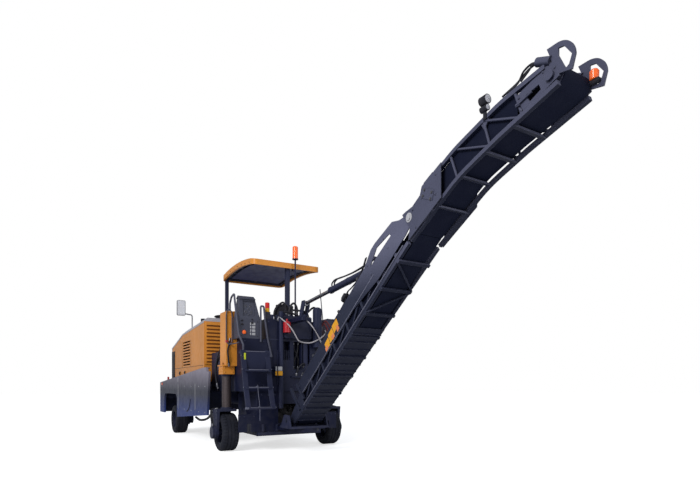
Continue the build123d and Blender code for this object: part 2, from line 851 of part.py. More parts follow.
# right edge, left edge, bottom and top of each pocket
pockets = (
    (-200, -50, 1400, 1880),
    (-365, -215, 1420, 1880),
    (20, 170, 1560, 1880),
)
comb_fingers = 4
comb_depth = 20
comb_finger = 16
comb_top = 1730
shelf_plate = (-250, 0, 1255, 1285)
shelf_reach = 40
tank_corner = 30
bracket_half_width = 60
bracket_depth = 60
upper_pin_radius = 20
upper_pin_height = 90
plate_x = -582
plate_sheet = 8
plate_y = (190, 330)
plate_z = (1280, 1450)
plate_arm = 45
rod_radius = 8
rod_z = (1130, 1720)
aerial_foot = 40
aerial_foot_z = (2200, 2240)
aerial_low = (-480, -640, 2220)
aerial_high = (-480, -575, 2850)
with BuildPart() as rear_cabinet:
    slab((cabinet_rear, platform_rear), (cabinet_right, cabinet_left), (housing_top, cabinet_top))
    slab((cabinet_rear, platform_rear), (cabinet_left, platform_half_width), (housing_top, wing_top))
    for right, left, low, high in pockets:
        slab(
            (cabinet_rear - 1, cabinet_rear + pocket_depth),
            (right, left),
            (low, high),
            mode=Mode.SUBTRACT,
        )
    comb_right, comb_left, comb_low = pockets[-1][:3]
    for finger in range(comb_fingers):
        middle = comb_right + (comb_left - comb_right) * (finger + 0.5) / comb_fingers
        slab(
            (cabinet_rear, cabinet_rear + comb_depth),
            (middle - comb_finger / 2, middle + comb_finger / 2),
            (comb_low, comb_top),
        )
    slab((cabinet_rear - shelf_reach, cabinet_rear), shelf_plate[:2], shelf_plate[2:])
    with BuildSketch(Plane.YZ.offset(ahead(tank_rear))) as tank_face:
        with Locations(((tank_left + tank_right) / 2, (tank_bottom + tank_top) / 2)):
            RectangleRounded(tank_left - tank_right, tank_top - tank_bottom, tank_corner)
    extrude(tank_face.sketch, amount=platform_rear - tank_rear - moving_gap)
    slab(
        (slew_x, cabinet_rear),
        (-bracket_half_width, bracket_half_width),
        (cabinet_top - bracket_depth, cabinet_top),
    )
    bar((slew_x, 0, cabinet_top - bracket_depth), (slew_x, 0, cabinet_top), bracket_half_width)
    bar((slew_x, 0, cabinet_top), (slew_x, 0, cabinet_top + upper_pin_height), upper_pin_radius)
    slab((plate_x - plate_sheet, plate_x), plate_y, plate_z)
    arm_z = (plate_z[0] + plate_arm, plate_z[0] + 2 * plate_arm)
    slab((plate_x, cabinet_rear), (plate_y[1] - plate_arm, plate_y[1]), arm_z)
    rod_place = (plate_x - 1.5 * plate_sheet, plate_y[1] - plate_arm)
    bar((*rod_place, rod_z[0]), (*rod_place, rod_z[1]), rod_radius)
    aerial_foot_y = (aerial_low[1] - rod_radius, cabinet_right)
    slab((cabinet_rear, cabinet_rear + aerial_foot), aerial_foot_y, aerial_foot_z)
    bar(aerial_low, aerial_high, rod_radius)
save(rear_cabinet, "rear_cabinet")

# Seat: pedestal, cushion and a backrest with a round top
seat_y = -150
seat_width = 460
back_width = 420
seat_front = 570
seat_rear = 60
cushion_low = 1860
cushion_top = 2000
back_thickness = 110
back_top = 2650
back_round = 120
pedestal_half = 120
seat_corner = 40
with BuildPart() as seat:
    seat_middle = (seat_front + seat_rear) / 2
    pedestal_x = (seat_middle - pedestal_half, seat_middle + pedestal_half)
    slab(pedestal_x, (seat_y - pedestal_half, seat_y + pedestal_half), (floor_top, cushion_low))
    slab(
        (seat_rear, seat_front),
        (seat_y - seat_width / 2, seat_y + seat_width / 2),
        (cushion_low, cushion_top),
    )
    fillet(seat.edges().filter_by(Axis.Z).sort_by(Axis.Z)[-4:], seat_corner)
    with BuildSketch(Plane.YZ.offset(ahead(seat_rear))) as back:
        with Locations((seat_y, (cushion_top + back_top) / 2)):
            RectangleRounded(back_width, back_top - cushion_top, back_round)
        with Locations((seat_y, cushion_top + back_round / 2)):
            Rectangle(back_width, back_round)
    extrude(back.sketch, amount=back_thickness)
save(seat, "seat")

# Console: leaning cabinet, narrower at the top, with a dial recess under a visor
console_front = column_x - column_length / 2 - moving_gap
console_side = (
    (cabinet_rear, wing_top),
    (console_front, wing_top),
    (console_front, 2180),
    (-330, 2560),
    (-400, 2590),
    (-470, 2540),
    (cabinet_rear, 2230),
)
console_face = ((560, wing_top), (930, wing_top), (930, 2230), (900, 2600), (650, 2600), (560, 2230))
dial_recess = ((-520, 2270), (-478, 2270), (-450, 2520), (-490, 2520))
dial_width = (640, 850)
visor = ((-330, 2560), (-400, 2590), (-470, 2540), (-500, 2548), (-402, 2612), (-322, 2575))
visor_width = (640, 915)
with BuildPart() as console:
    side_prism(console_side, (console_face[0][0], console_face[1][0]))
    with BuildSketch(Plane.YZ.offset(ahead(cabinet_rear))) as face:
        with BuildLine():
            Polyline(*console_face, close=True)
        make_face()
    extrude(face.sketch, amount=console_front - cabinet_rear, mode=Mode.INTERSECT)
    side_prism(dial_recess, dial_width, mode=Mode.SUBTRACT)
    side_prism(visor, visor_width)
save(console, "console")

# Ladder: kinked side plates, two deep steps, two rungs and a riser
ladder_left = 930
ladder_right = 520
stringer_width = 80
stringer_depth = 24
step_thickness = 30
step_y = (ladder_right, ladder_left)
with BuildPart() as ladder:
    for side_y in step_y:
        side_prism(
            (
                (-700, 1690),
                (-700 - stringer_depth, 1690),
                (-850 - stringer_depth, 1070),
                (-975 - stringer_depth, 745),
                (-975, 745),
                (-850, 1070),
            ),
            (side_y - stringer_width / 2, side_y + stringer_width / 2),
        )
    # rear edge, front edge and top of each step
    for step_rear, step_front, step_top in (
        (-740, cabinet_rear, 1675),
        (-880, -750, 1375),
        (-890, -840, 1095),
        (-1000, -950, 775),
    ):
        slab((step_rear, step_front), step_y, (step_top - step_thickness, step_top))
    slab((-750, -742), step_y, (1370, 1650))
    for link_y in (ladder_right + stringer_width, platform_half_width - 2 * stringer_depth):
        slab((-860, cabinet_rear), (link_y, link_y + stringer_depth), (1070, 1090))
save(ladder, "ladder")

rail_radius = 16
rail_bend = 60
right_rail_x = cabinet_rear - rail_radius - flat_gap
with BuildPart() as handrails:
    bent_tube(
        (
            (platform_rear, 950, column_top),
            (platform_rear, 950, 2520),
            (-170, 945, 2620),
            (-330, 950, 2650),
            (-410, 965, 2520),
            (-500, 970, 2300),
            (-600, 960, 1950),
            (-660, 905, 1780),
            (-660, 905, 1675),
        ),
        rail_bend,
        rail_radius,
    )
    bent_tube(
        (
            (right_rail_x, 555, 1850),
            (right_rail_x, 557, 2450),
            (right_rail_x, 503, 2450),
            (right_rail_x, 480, 2220),
            (right_rail_x, 430, 1890),
            (right_rail_x, 360, 1600),
        ),
        24,
        rail_radius,
    )
save(handrails, "handrails")


# Canopy: arched roof with a recessed underside, panelled lining, posts and beacon pole
def arched_slab(inset, low, high):
    """Slab bent to the canopy's arch, set in from the canopy's edges."""
    ends = (ahead(canopy_rear + inset), ahead(canopy_front - inset))
    crown = canopy_edge_z + canopy_rise
    with BuildSketch(Plane.XZ) as arch:
        with BuildLine():
            low_ends = [(end, canopy_edge_z + low) for end in ends]
            high_ends = [(end, canopy_edge_z + high) for end in ends]
            ThreePointArc(low_ends[0], (sum(ends) / 2, crown + low), low_ends[1])
            Line(low_ends[1], high_ends[1])
            ThreePointArc(high_ends[1], (sum(ends) / 2, crown + high), high_ends[0])
            Line(high_ends[0], low_ends[0])
        make_face()
    with BuildPart() as bent:
        extrude(arch.sketch, amount=canopy_half_width - inset, both=True)
    return bent.part


with BuildPart() as canopy_roof:
    add(arched_slab(0, 0, canopy_thickness))
    fillet(canopy_roof.edges().filter_by(Axis.Z), canopy_corner)
    add(arched_slab(canopy_rim, -1, canopy_recess), mode=Mode.SUBTRACT)
save(canopy_roof, "canopy_roof")

lining_thickness = 12
lining_rib = 20
panel_columns = 4
panel_rows = 2
panel_border = 60
post_x = 1325
post_y = 570
post_size = 60
rear_post_x = -275
rear_post_y = -30
rear_post_size = 70
pole_x = canopy_rear - 60
pole_y = -120
pole_radius = 14
lens_low = 3350
lens_top = 3570
lens_radius = 48
lens_collar = 20
post_top = canopy_edge_z + canopy_recess
lining_low = canopy_recess - lining_thickness - lining_rib
with BuildPart() as canopy_frame:
    add(arched_slab(canopy_rim + 1, lining_low, canopy_recess))
    panel_length = (canopy_front - canopy_rear - 2 * canopy_rim - panel_border) / panel_columns
    panel_width = (2 * canopy_half_width - 2 * canopy_rim - panel_border) / panel_rows
    for column in range(panel_columns):
        start_x = canopy_rear + canopy_rim + panel_border + column * panel_length
        for row in range(panel_rows):
            start_y = -canopy_half_width + canopy_rim + panel_border + row * panel_width
            slab(
                (start_x, start_x + panel_length - panel_border),
                (start_y, start_y + panel_width - panel_border),
                (canopy_edge_z, canopy_edge_z + canopy_rise + canopy_thickness),
                mode=Mode.SUBTRACT,
            )
    add(arched_slab(canopy_rim + 1, canopy_recess - lining_thickness, canopy_recess))
    slab(
        (post_x - post_size / 2, post_x + post_size / 2),
        (post_y - post_size / 2, post_y + post_size / 2),
        (floor_top, post_top),
    )
    slab(
        (rear_post_x - rear_post_size / 2, rear_post_x + rear_post_size / 2),
        (rear_post_y - rear_post_size / 2, rear_post_y + rear_post_size / 2),
        (tank_top, post_top),
    )
    bar((pole_x, pole_y, tank_top), (pole_x, pole_y, lens_low), pole_radius)
    clip_y = (pole_y - pole_radius, pole_y + pole_radius)
    clip_x = canopy_rear + canopy_rim + 1
    clip_low = canopy_edge_z - 2 * lining_rib
    slab((pole_x, clip_x + lining_rib), clip_y, (clip_low, clip_low + lining_rib))
    slab((clip_x, clip_x + lining_rib), clip_y, (clip_low, post_top))
save(canopy_frame, "canopy_frame")

with BuildPart() as beacon:
    bar((pole_x, pole_y, lens_low), (pole_x, pole_y, lens_low + lens_collar), lens_radius + 2)
    bar((pole_x, pole_y, lens_low + lens_collar), (pole_x, pole_y, lens_top), lens_radius)
    fillet(beacon.edges().sort_by(Axis.Z)[-1], lens_collar)
save(beacon, "beacon")

# Signal lamp on its box, domed canisters, column pipe and extinguisher on the cabinet
signal_x = cabinet_rear + 60
signal_y = 410
signal_box = 40
signal_low = 2370
signal_top = 2530
signal_radius = 38
with BuildPart() as signal_lamp:
    slab(
        (signal_x - signal_box, signal_x + signal_box),
        (signal_y - signal_box, signal_y + signal_box),
        (cabinet_top, signal_low),
    )
    bar((signal_x, signal_y, signal_low), (signal_x, signal_y, signal_top), signal_radius)
    fillet(signal_lamp.edges().sort_by(Axis.Z)[-1], 12)
save(signal_lamp, "signal_lamp")

canister_radius = 80
canister_y = -470
canister_low = 1790
canister_top = 2500
filter_radius = 60
pipe_radius = 40
pipe_y = 200
pipe_low = 730
pipe_top = 2380
pipe_x = cabinet_rear - pipe_radius - flat_gap
with BuildPart() as canisters:
    canister_x = cabinet_rear - canister_radius - flat_gap
    bar((canister_x, canister_y, canister_low), (canister_x, canister_y, canister_top), canister_radius)
    fillet(canisters.edges().sort_by(Axis.Z)[-1], filter_radius)
    filter_right, filter_left, filter_low, filter_high = pockets[1]
    filter_y = (filter_right + filter_left) / 2
    filter_x = cabinet_rear + filter_radius
    bar((filter_x, filter_y, filter_low), (filter_x, filter_y, filter_high), filter_radius)
    bar((pipe_x, pipe_y, pipe_low), (pipe_x, pipe_y, pipe_top), pipe_radius)
save(canisters, "canisters")

bottle_radius = 65
bottle_y = 128
bottle_low = 2020
bottle_shoulder = 2210
bottle_top = 2250
bottle_neck = 18
bottle_x = tank_rear - bottle_radius - flat_gap
with BuildPart() as extinguisher:
    bar((bottle_x, bottle_y, bottle_low), (bottle_x, bottle_y, bottle_shoulder), bottle_radius)
    fillet(extinguisher.edges().sort_by(Axis.Z)[-1], bottle_radius / 2)
    bar((bottle_x, bottle_y, bottle_shoulder), (bottle_x, bottle_y, bottle_top), bottle_neck)
save(extinguisher, "extinguisher")

# Slewing yoke below and slewing head above, on the same upright axis
yoke_thickness = 35
yoke_radius = 230
yoke_front = 160
yoke_rear = 250
cheek_inner = 315
cheek_thickness = 25
cheek_head = 90
pivot_radius = 30
head_inner = 34
head_sheet = 20
head_lug = 45
pivot = on_conveyor(tail_along, tail_across)
head_base = cabinet_top + flat_gap
with BuildPart() as slew_yoke:
    yoke_low = shelf_top + flat_gap
    yoke_width = cheek_inner + cheek_thickness
    bar((slew_x, 0, yoke_low), (slew_x, 0, yoke_low + yoke_thickness), yoke_radius)
    slab(
        (slew_x - yoke_rear, slew_x + yoke_front),
        (-yoke_width, yoke_width),
        (yoke_low, yoke_low + yoke_thickness),
    )
    bar(
        (slew_x, 0, yoke_low),
        (slew_x, 0, yoke_low + yoke_thickness),
        slew_pin_radius + pin_gap,
        mode=Mode.SUBTRACT,
    )
    for sign in (1, -1):
        ends = sorted((sign * cheek_inner, sign * yoke_width))
        side_prism(
            (
                (slew_x - yoke_rear, yoke_low),
                (slew_x + yoke_front, yoke_low),
                (pivot[0] + cheek_head, pivot[1] + cheek_head),
                (pivot[0] - cheek_head, pivot[1] + cheek_head),
            ),
            ends,
        )
        bore_ends = [(pivot[0], end, pivot[1]) for end in ends]
        bar(*bore_ends, pivot_radius + pin_gap, mode=Mode.SUBTRACT)
    bar((slew_x, 0, head_base), (slew_x, 0, head_base + 2 * head_sheet), head_inner + head_sheet)
    bar(
        (slew_x, 0, head_base),
        (slew_x, 0, head_base + 2 * head_sheet),
        upper_pin_radius + pin_gap,
        mode=Mode.SUBTRACT,
    )
    for sign in (1, -1):
        ends = sorted((sign * head_inner, sign * (head_inner + head_sheet)))
        side_prism(
            (
                (slew_x - 2 * head_sheet, head_base),
                (slew_x + 2 * head_sheet, head_base),
                (slew_x + 2 * head_sheet, head_base + 3 * head_sheet),
                (rod_pin_x + head_lug, rod_pin_z + head_lug),
                (rod_pin_x - head_lug, rod_pin_z + head_lug),
                (rod_pin_x - head_lug, rod_pin_z - head_lug),
            ),
            ends,
        )
save(slew_yoke, "slew_yoke")

# Lower conveyor section: trussed chords under deep side plates, a ribbed bottom
# sheet, cross members, rollers, the hoisting gantry and the tail's foot bars
chord_top = chord_low + chord_size
chord_inner = plate_inner - chord_width
post_length = 40
strut = 30
strut_y = (chord_inner + 10, plate_inner - 10)
sheet_end = 1900
sheet_low = 4
sheet_start = -300
rib_pitch = 160
rib_width = 14
rib_low = -8
member_low = -16
roller_radius = 38
roller_shaft = 14
cylinder_pin_radius = 22
pin_boss = 15
side_plate = (
    (plate_start, plate_low),
    (sheet_end, plate_low),
    (2650, 115),
    (3300, 115),
    (fold_along - 10, fold_across - 60),
    (fold_along + 40, fold_across),
    (fold_along - 10, fold_across + 70),
    (3388, 307),
    (3317, 346),
    (3216, 445),
    (2838, 523),
    (2730, 528),
    (2483, plate_top),
    (plate_start, plate_top),
)
gantry_hole = ((2600, 370), (3110, 335), (3100, 375), (2830, 450))
# lower end and upper end of each foot bar, along and across
foot_bars = (((-81, 59), (-168, 518)), ((140, 108), (65, 447)))
foot_bar_half = 22
foot_bar_depth = 30
belt_top = tail_across + tail_radius
belt_low = tail_across - tail_radius
roller_across = belt_top - belt_thickness - flat_gap - roller_radius
between_plates = (-plate_inner, plate_inner)
fold_pin_length = 2 * plate_thickness + plate_gap + pin_boss
with BuildPart() as lower_frame:
    for sign in (1, -1):
        plate_y = sorted((sign * plate_inner, sign * (plate_inner + plate_thickness)))
        conveyor_prism(side_plate, plate_y)
        conveyor_prism(gantry_hole, plate_y, mode=Mode.SUBTRACT)
        conveyor_prism(
            (
                (tail_along, tail_across - tail_end_radius),
                (plate_start + post_length, tail_across - tail_end_radius),
                (plate_start + post_length, plate_low + strut),
                (plate_start, plate_low + strut),
                (tail_along, tail_across + tail_end_radius),
            ),
            plate_y,
        )
        bar((pivot[0], plate_y[0], pivot[1]), (pivot[0], plate_y[1], pivot[1]), tail_end_radius)
        outboard = sorted((sign * plate_inner, sign * (plate_inner + plate_thickness + foot_bar_depth)))
        for low_end, high_end in foot_bars:
            conveyor_prism(
                (
                    (low_end[0] - foot_bar_half, low_end[1]),
                    (low_end[0] + foot_bar_half, low_end[1]),
                    (high_end[0] + foot_bar_half, high_end[1]),
                    (high_end[0] - foot_bar_half, high_end[1]),
                ),
                outboard,
            )
        chord_y = sorted((sign * chord_inner, sign * plate_inner))
        conveyor_slab((sheet_start, lower_end), (chord_low, chord_top), chord_y)
        brace_y = sorted((sign * strut_y[0], sign * strut_y[1]))
        for bay in range(bay_count + 1):
            post = bay * bay_length
            conveyor_slab((post, post + post_length), (chord_top, plate_low + 2 * strut), chord_y)
        for bay in range(bay_count):
            start = bay * bay_length + post_length
            end = (bay + 1) * bay_length
            conveyor_prism(
                (
                    (start, chord_top),
                    (start + strut, chord_top),
                    (end, plate_low),
                    (end, plate_low + strut),
                    (end - strut, plate_low + strut),
                ),
                brace_y,
            )
        pivot_end = sign * (cheek_inner + cheek_thickness + plate_thickness)
        bar((pivot[0], sign * plate_inner, pivot[1]), (pivot[0], pivot_end, pivot[1]), pivot_radius)
        fold_pin = on_conveyor(fold_along, fold_across)
        pin_end = sign * (plate_inner + fold_pin_length)
        pin_start = (fold_pin[0], sign * plate_inner, fold_pin[1])
        bar(pin_start, (fold_pin[0], pin_end, fold_pin[1]), fold_pin_radius)
    for bay in range(1, bay_count + 1):
        roller = on_conveyor(bay * bay_length + post_length / 2, roller_across)
        body = chord_inner - moving_gap
        bar((roller[0], -body, roller[1]), (roller[0], body, roller[1]), roller_radius)
        bar((roller[0], -plate_inner, roller[1]), (roller[0], plate_inner, roller[1]), roller_shaft)
    for bay in range(bay_count + 1):
        member = bay * bay_length
        conveyor_slab((member, member + post_length), (member_low, chord_low), between_plates)
    conveyor_slab((sheet_start, sheet_end), (sheet_low, chord_low), between_plates)
    for rib in range(sheet_start, sheet_end, rib_pitch):
        conveyor_slab((rib, rib + rib_width), (rib_low, sheet_low), between_plates)
    bottom_plane = Plane(
        origin=conveyor_side.from_local_coords((0, rib_low, 0)),
        x_dir=conveyor_side.x_dir,
        z_dir=conveyor_side.y_dir,
    )
    for bay in range(bay_count - 2, bay_count):
        start = bay * bay_length + post_length / 2
        end = start + bay_length
        lean = plate_inner if bay % 2 else -plate_inner
        with BuildSketch(bottom_plane) as brace:
            with BuildLine():
                corners = ((start, -lean), (start + strut, -lean), (end, lean), (end - strut, lean))
                Polyline(*corners, close=True)
            make_face()
        extrude(brace.sketch, amount=chord_low - rib_low)
    eye = on_conveyor(barrel_along, barrel_across)
    bar((eye[0], -plate_inner - 1, eye[1]), (eye[0], plate_inner + 1, eye[1]), cylinder_pin_radius)
    tail_drum = tail_radius - belt_thickness - flat_gap
    bar((pivot[0], -plate_inner, pivot[1]), (pivot[0], plate_inner, pivot[1]), tail_drum)
save(lower_frame, "lower_frame")

# Belt of the lower section: carrying and return runs round the tail drum
belt_end = fold_along - 60
with BuildPart() as lower_belt:
    with BuildSketch(conveyor_side.offset(-belt_half_width)) as belt_loop:
        with BuildLine():
            tail_end = (tail_along - tail_radius, tail_across)
            Line((belt_end, belt_top), (tail_along, belt_top))
            ThreePointArc((tail_along, belt_top), tail_end, (tail_along, belt_low))
            Line((tail_along, belt_low), (belt_end, belt_low))
            Line((belt_end, belt_low), (belt_end, belt_low + belt_thickness))
            Line((belt_end, belt_low + belt_thickness), (tail_along, belt_low + belt_thickness))
            ThreePointArc(
                (tail_along, belt_low + belt_thickness),
                (tail_along - tail_radius + belt_thickness, tail_across),
                (tail_along, belt_top - belt_thickness),
            )
            Line((tail_along, belt_top - belt_thickness), (belt_end, belt_top - belt_thickness))
            Line((belt_end, belt_top - belt_thickness), (belt_end, belt_top))
        make_face()
    extrude(belt_loop.sketch, amount=2 * belt_half_width)
save(lower_belt, "lower_belt")

# Upper conveyor section: gooseneck truss carried on the fold pins by two ears
rail_size = 40
rail_inner = plate_inner - plate_thickness / 2 - rail_size + 1
rail_outer = rail_inner + rail_size
rail_middle = rail_inner + rail_size / 2
ear_inner = plate_inner + plate_thickness + plate_gap
web_radius = 13
low_points = ((-4170, 2700), (-4900, 3130), (-5400, 3297), (-6020, 3470))
top_points = ((-4370, 3190), (-4850, 3410), (-5430, 3585), (-5900, 3655))
rail_bends = (1500, 1500)
# place on the top rail and place on the low rail of each web bar
web_bars = ((-4790, -4890), (-4860, -5310), (-5230, -5310), (-5230, -5650), (-5590, -5670))
member_places = (-4600, -4930, -5250, -5570)
ear = (
    (-4060, 3000),
    (-4130, 3020),
    (-4240, 3040),
    (-4370, 3120),
    (-4400, 3204),
    (-4700, 3341),
    (-4700, 2990),
    (-4170, 2690),
    (-4195, 2820),
)
spacer_x = (-4420, -4560)
take_up_plate = ((-5610, 3560), (-5900, 3650), (-5990, 3660), (-6030, 3520), (-5690, 3390))
take_up_slot = ((-5710, 3520), (-5840, 3545), (-5860, 3495), (-5750, 3450))
head_boss_radius = 40
head_shaft_radius = 30
belt_motor = ((-5820, 3735), (-5950, 3675))
belt_motor_radius = 36
guard_hole = ((-6020, 3735), (-6070, 3725), (-6140, 3625), (-6115, 3560), (-6085, 3545), (-6020, 3680))
fold = on_conveyor(fold_along, fold_across)


def height_on(points, place):
    """Height of a polyline above one place along the machine."""
    for (x0, z0), (x1, z1) in zip(points, points[1:]):
        if x1 <= place <= x0:
            return z0 + (z1 - z0) * (place - x0) / (x1 - x0)
    raise ValueError("place lies beyond the rail")


with BuildPart() as upper_frame:
    for points in (low_points, top_points):
        with BuildLine(Plane.XZ) as rail_line:
            FilletPolyline(*[(ahead(x), z) for x, z in points], radius=rail_bends)
        rail_plane = Plane(
            origin=rail_line.line @ 0,
            x_dir=(0, 1, 0),
            z_dir=rail_line.line % 0,
        )
        with BuildSketch(rail_plane) as rail_section:
            with Locations((rail_middle, 0), (-rail_middle, 0)):
                Rectangle(rail_size, rail_size)
        sweep(rail_section.sketch, path=rail_line.line)
    for sign in (1, -1):
        ear_y = sorted((sign * ear_inner, sign * (ear_inner + plate_thickness)))
        side_prism(ear, ear_y)
        bore_ends = [(fold[0], end, fold[1]) for end in ear_y]
        bar(*bore_ends, fold_pin_radius + pin_gap, mode=Mode.SUBTRACT)
        spacer_y = sorted((sign * (rail_outer - 1), sign * ear_inner))
        for points in (low_points, top_points):
            heights = [height_on(points, x) for x in spacer_x]
            side_prism(
                (
                    (spacer_x[0], heights[0] - rail_size / 2),
                    (spacer_x[1], heights[1] - rail_size / 2),
                    (spacer_x[1], heights[1] + rail_size / 2),
                    (spacer_x[0], heights[0] + rail_size / 2),
                ),
                spacer_y,
            )
        for top_place, low_place in web_bars:
            bar(
                (top_place, sign * rail_middle, height_on(top_points, top_place)),
                (low_place, sign * rail_middle, height_on(low_points, low_place)),
                web_radius,
            )
        end_plate = sorted(
            (sign * (rail_middle - guard_thickness / 2), sign * (rail_middle + guard_thickness / 2))
        )
        gusset_z = height_on(top_points, web_bars[2][0])
        side_prism(((-5190, gusset_z), (-5300, gusset_z), (-5245, gusset_z - 90)), end_plate)
        side_prism(take_up_plate, end_plate)
        side_prism(take_up_slot, end_plate, mode=Mode.SUBTRACT)
        with BuildSketch(Plane.XZ.offset(-end_plate[1])) as guard_side:
            with BuildLine():
                tip = (ahead(guard_x + guard_radius / 2), guard_z + guard_radius)
                crown = (ahead(guard_x), guard_z + guard_radius)
                rear = (ahead(guard_x - guard_radius), guard_z)
                diagonal = guard_radius * cos(radians(45))
                Line(tip, crown)
                ThreePointArc(crown, (ahead(guard_x - diagonal), guard_z + diagonal), rear)
                Polyline(rear, (ahead(-6140), 3510), (ahead(-6010), 3540), tip)
            make_face()
            with BuildLine():
                Polyline(*[(ahead(x), z) for x, z in guard_hole], close=True)
            make_face(mode=Mode.SUBTRACT)
        extrude(guard_side.sketch, amount=guard_thickness)
        motor_y = sign * rail_middle
        bar(
            (belt_motor[0][0], motor_y, belt_motor[0][1]),
            (belt_motor[1][0], motor_y, belt_motor[1][1]),
            belt_motor_radius,
        )
        bar(
            (head_x, sign * rail_middle, head_z),
            (head_x, sign * (rail_outer + pin_boss), head_z),
            head_boss_radius,
        )
    for member_x in member_places:
        member_z = height_on(low_points, member_x)
        slab(
            (member_x - rail_size / 2, member_x + rail_size / 2),
            (-rail_middle, rail_middle),
            (member_z - rail_size / 2, member_z),
        )
    drum_end = belt_half_width + plate_gap
    bar((head_x, -drum_end, head_z), (head_x, drum_end, head_z), head_radius - flat_gap)
    bar((head_x, -rail_outer, head_z), (head_x, rail_outer, head_z), head_shaft_radius)
save(upper_frame, "upper_frame")

# Belt of the upper section, round the head drum
belt_slope = radians(14.4)
# where each run bends, and the height of the carrying and the return run there
first_bend = (-4950, 3310, 3180)
second_bend_x = -5400
belt_bend_radius = 900
head_mid = head_radius + belt_thickness / 2
run_dir = (-cos(belt_slope), sin(belt_slope))
run_up = (sin(belt_slope), cos(belt_slope))
top_corner = (
    head_x + head_mid * (run_up[0] + run_dir[0]),
    head_z + head_mid * (run_up[1] + run_dir[1]),
)
low_corner = (
    head_x + head_mid * (-run_up[0] + run_dir[0]),
    head_z + head_mid * (-run_up[1] + run_dir[1]),
)
belt_start = belt_end + plate_gap
carrying_start = on_conveyor(belt_start, belt_top - belt_thickness / 2)
return_start = on_conveyor(belt_start, belt_low + belt_thickness / 2)
second_top = top_corner[1] - tan(belt_slope) * (second_bend_x - top_corner[0])
second_low = low_corner[1] - tan(belt_slope) * (second_bend_x - low_corner[0])
belt_route = (
    carrying_start,
    (first_bend[0], first_bend[1]),
    (second_bend_x, second_top),
    top_corner,
    low_corner,
    (second_bend_x, second_low),
    (first_bend[0], first_bend[2]),
    return_start,
)
wrap_radius = head_mid - 1
with BuildPart() as upper_belt:
    with BuildLine(Plane.XZ) as belt_line:
        run_bends = (belt_bend_radius, belt_bend_radius)
        belt_radii = (*run_bends, wrap_radius, wrap_radius, *run_bends)
        FilletPolyline(*[(ahead(x), z) for x, z in belt_route], radius=belt_radii)
    belt_plane = Plane(origin=belt_line.line @ 0, x_dir=(0, 1, 0), z_dir=belt_line.line % 0)
    with BuildSketch(belt_plane) as belt_section:
        Rectangle(2 * belt_half_width, belt_thickness)
    sweep(belt_section.sketch, path=belt_line.line)
save(upper_belt, "upper_belt")

# Work lamps on the upper section's left rail, on one upright bracket
lamp_x = -5270
lamp_bracket = 40
lamp_sheet = 8
upper_lamp = (3685, 42)
lower_lamp = (3610, 28)
lamp_depth = 80
with BuildPart() as conveyor_lamps:
    slab(
        (lamp_x - lamp_bracket / 2, lamp_x + lamp_bracket / 2),
        (rail_outer, rail_outer + lamp_sheet),
        (height_on(top_points, lamp_x) - rail_size / 2, upper_lamp[0]),
    )
    for lamp_z, lamp_radius in (upper_lamp, lower_lamp):
        bar(
            (lamp_x - lamp_depth / 2, rail_outer + lamp_sheet, lamp_z),
            (lamp_x + lamp_depth / 2, rail_outer + lamp_sheet, lamp_z),
            lamp_radius,
        )
save(conveyor_lamps, "conveyor_lamps")

# Lift cylinder: bored barrel on the conveyor, rod reaching to the slewing head
barrel_eye = Vector(eye[0], 0, eye[1])
rod_eye = Vector(rod_pin_x, 0, rod_pin_z)
stroke_dir = (rod_eye - barrel_eye).normalized()


def on_cylinder(distance):
    """Point on the lift cylinder's axis, measured from the barrel's eye."""
    point = barrel_eye + stroke_dir * distance
    return (point.X, 0, point.Z)


eye_ring = 55
eye_half_width = 28
eye_neck = 20
bore_start = 120
rod_eye_radius = 45
with BuildPart() as lift_barrel:
    bar(on_cylinder(eye_neck), on_cylinder(barrel_length), barrel_radius)
    bar((eye[0], -eye_half_width, eye[1]), (eye[0], eye_half_width, eye[1]), eye_ring)
    bar(
        (eye[0], -barrel_radius, eye[1]),
        (eye[0], barrel_radius, eye[1]),
        cylinder_pin_radius + pin_gap,
        mode=Mode.SUBTRACT,
    )
    bar(on_cylinder(bore_start), on_cylinder(barrel_length), lift_rod_radius + pin_gap, mode=Mode.SUBTRACT)
save(lift_barrel, "lift_barrel")

cylinder_span = (rod_eye - barrel_eye).length
rod_eye_half = head_inner - 1
with BuildPart() as lift_rod:
    bar(on_cylinder(cylinder_span - rod_total), on_cylinder(cylinder_span - eye_neck), lift_rod_radius)
    bar((rod_pin_x, -rod_eye_half, rod_pin_z), (rod_pin_x, rod_eye_half, rod_pin_z), rod_eye_radius)
save(lift_rod, "lift_rod")
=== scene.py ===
from math import atan2, cos, pi, radians, sin

import bmesh
import bpy
from mathutils import Matrix, Vector


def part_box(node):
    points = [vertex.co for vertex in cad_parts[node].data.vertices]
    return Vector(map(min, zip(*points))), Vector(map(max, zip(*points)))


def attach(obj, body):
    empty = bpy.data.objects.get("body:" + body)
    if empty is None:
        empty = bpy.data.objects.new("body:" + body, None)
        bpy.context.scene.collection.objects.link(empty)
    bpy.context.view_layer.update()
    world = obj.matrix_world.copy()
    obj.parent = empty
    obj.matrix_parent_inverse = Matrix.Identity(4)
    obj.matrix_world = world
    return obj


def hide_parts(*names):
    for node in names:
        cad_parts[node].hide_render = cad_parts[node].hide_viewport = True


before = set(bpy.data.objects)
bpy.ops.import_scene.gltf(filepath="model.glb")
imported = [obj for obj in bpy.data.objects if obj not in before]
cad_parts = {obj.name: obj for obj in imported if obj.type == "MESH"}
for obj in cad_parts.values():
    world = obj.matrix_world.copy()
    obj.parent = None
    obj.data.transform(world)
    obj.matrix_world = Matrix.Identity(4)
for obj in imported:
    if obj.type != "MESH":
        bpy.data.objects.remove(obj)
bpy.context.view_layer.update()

# Places along the machine are measured from the rear axle, as in the part.
tyre_low, tyre_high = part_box("rear_left_tyre")
axle_x = (tyre_low[0] + tyre_high[0]) / 2

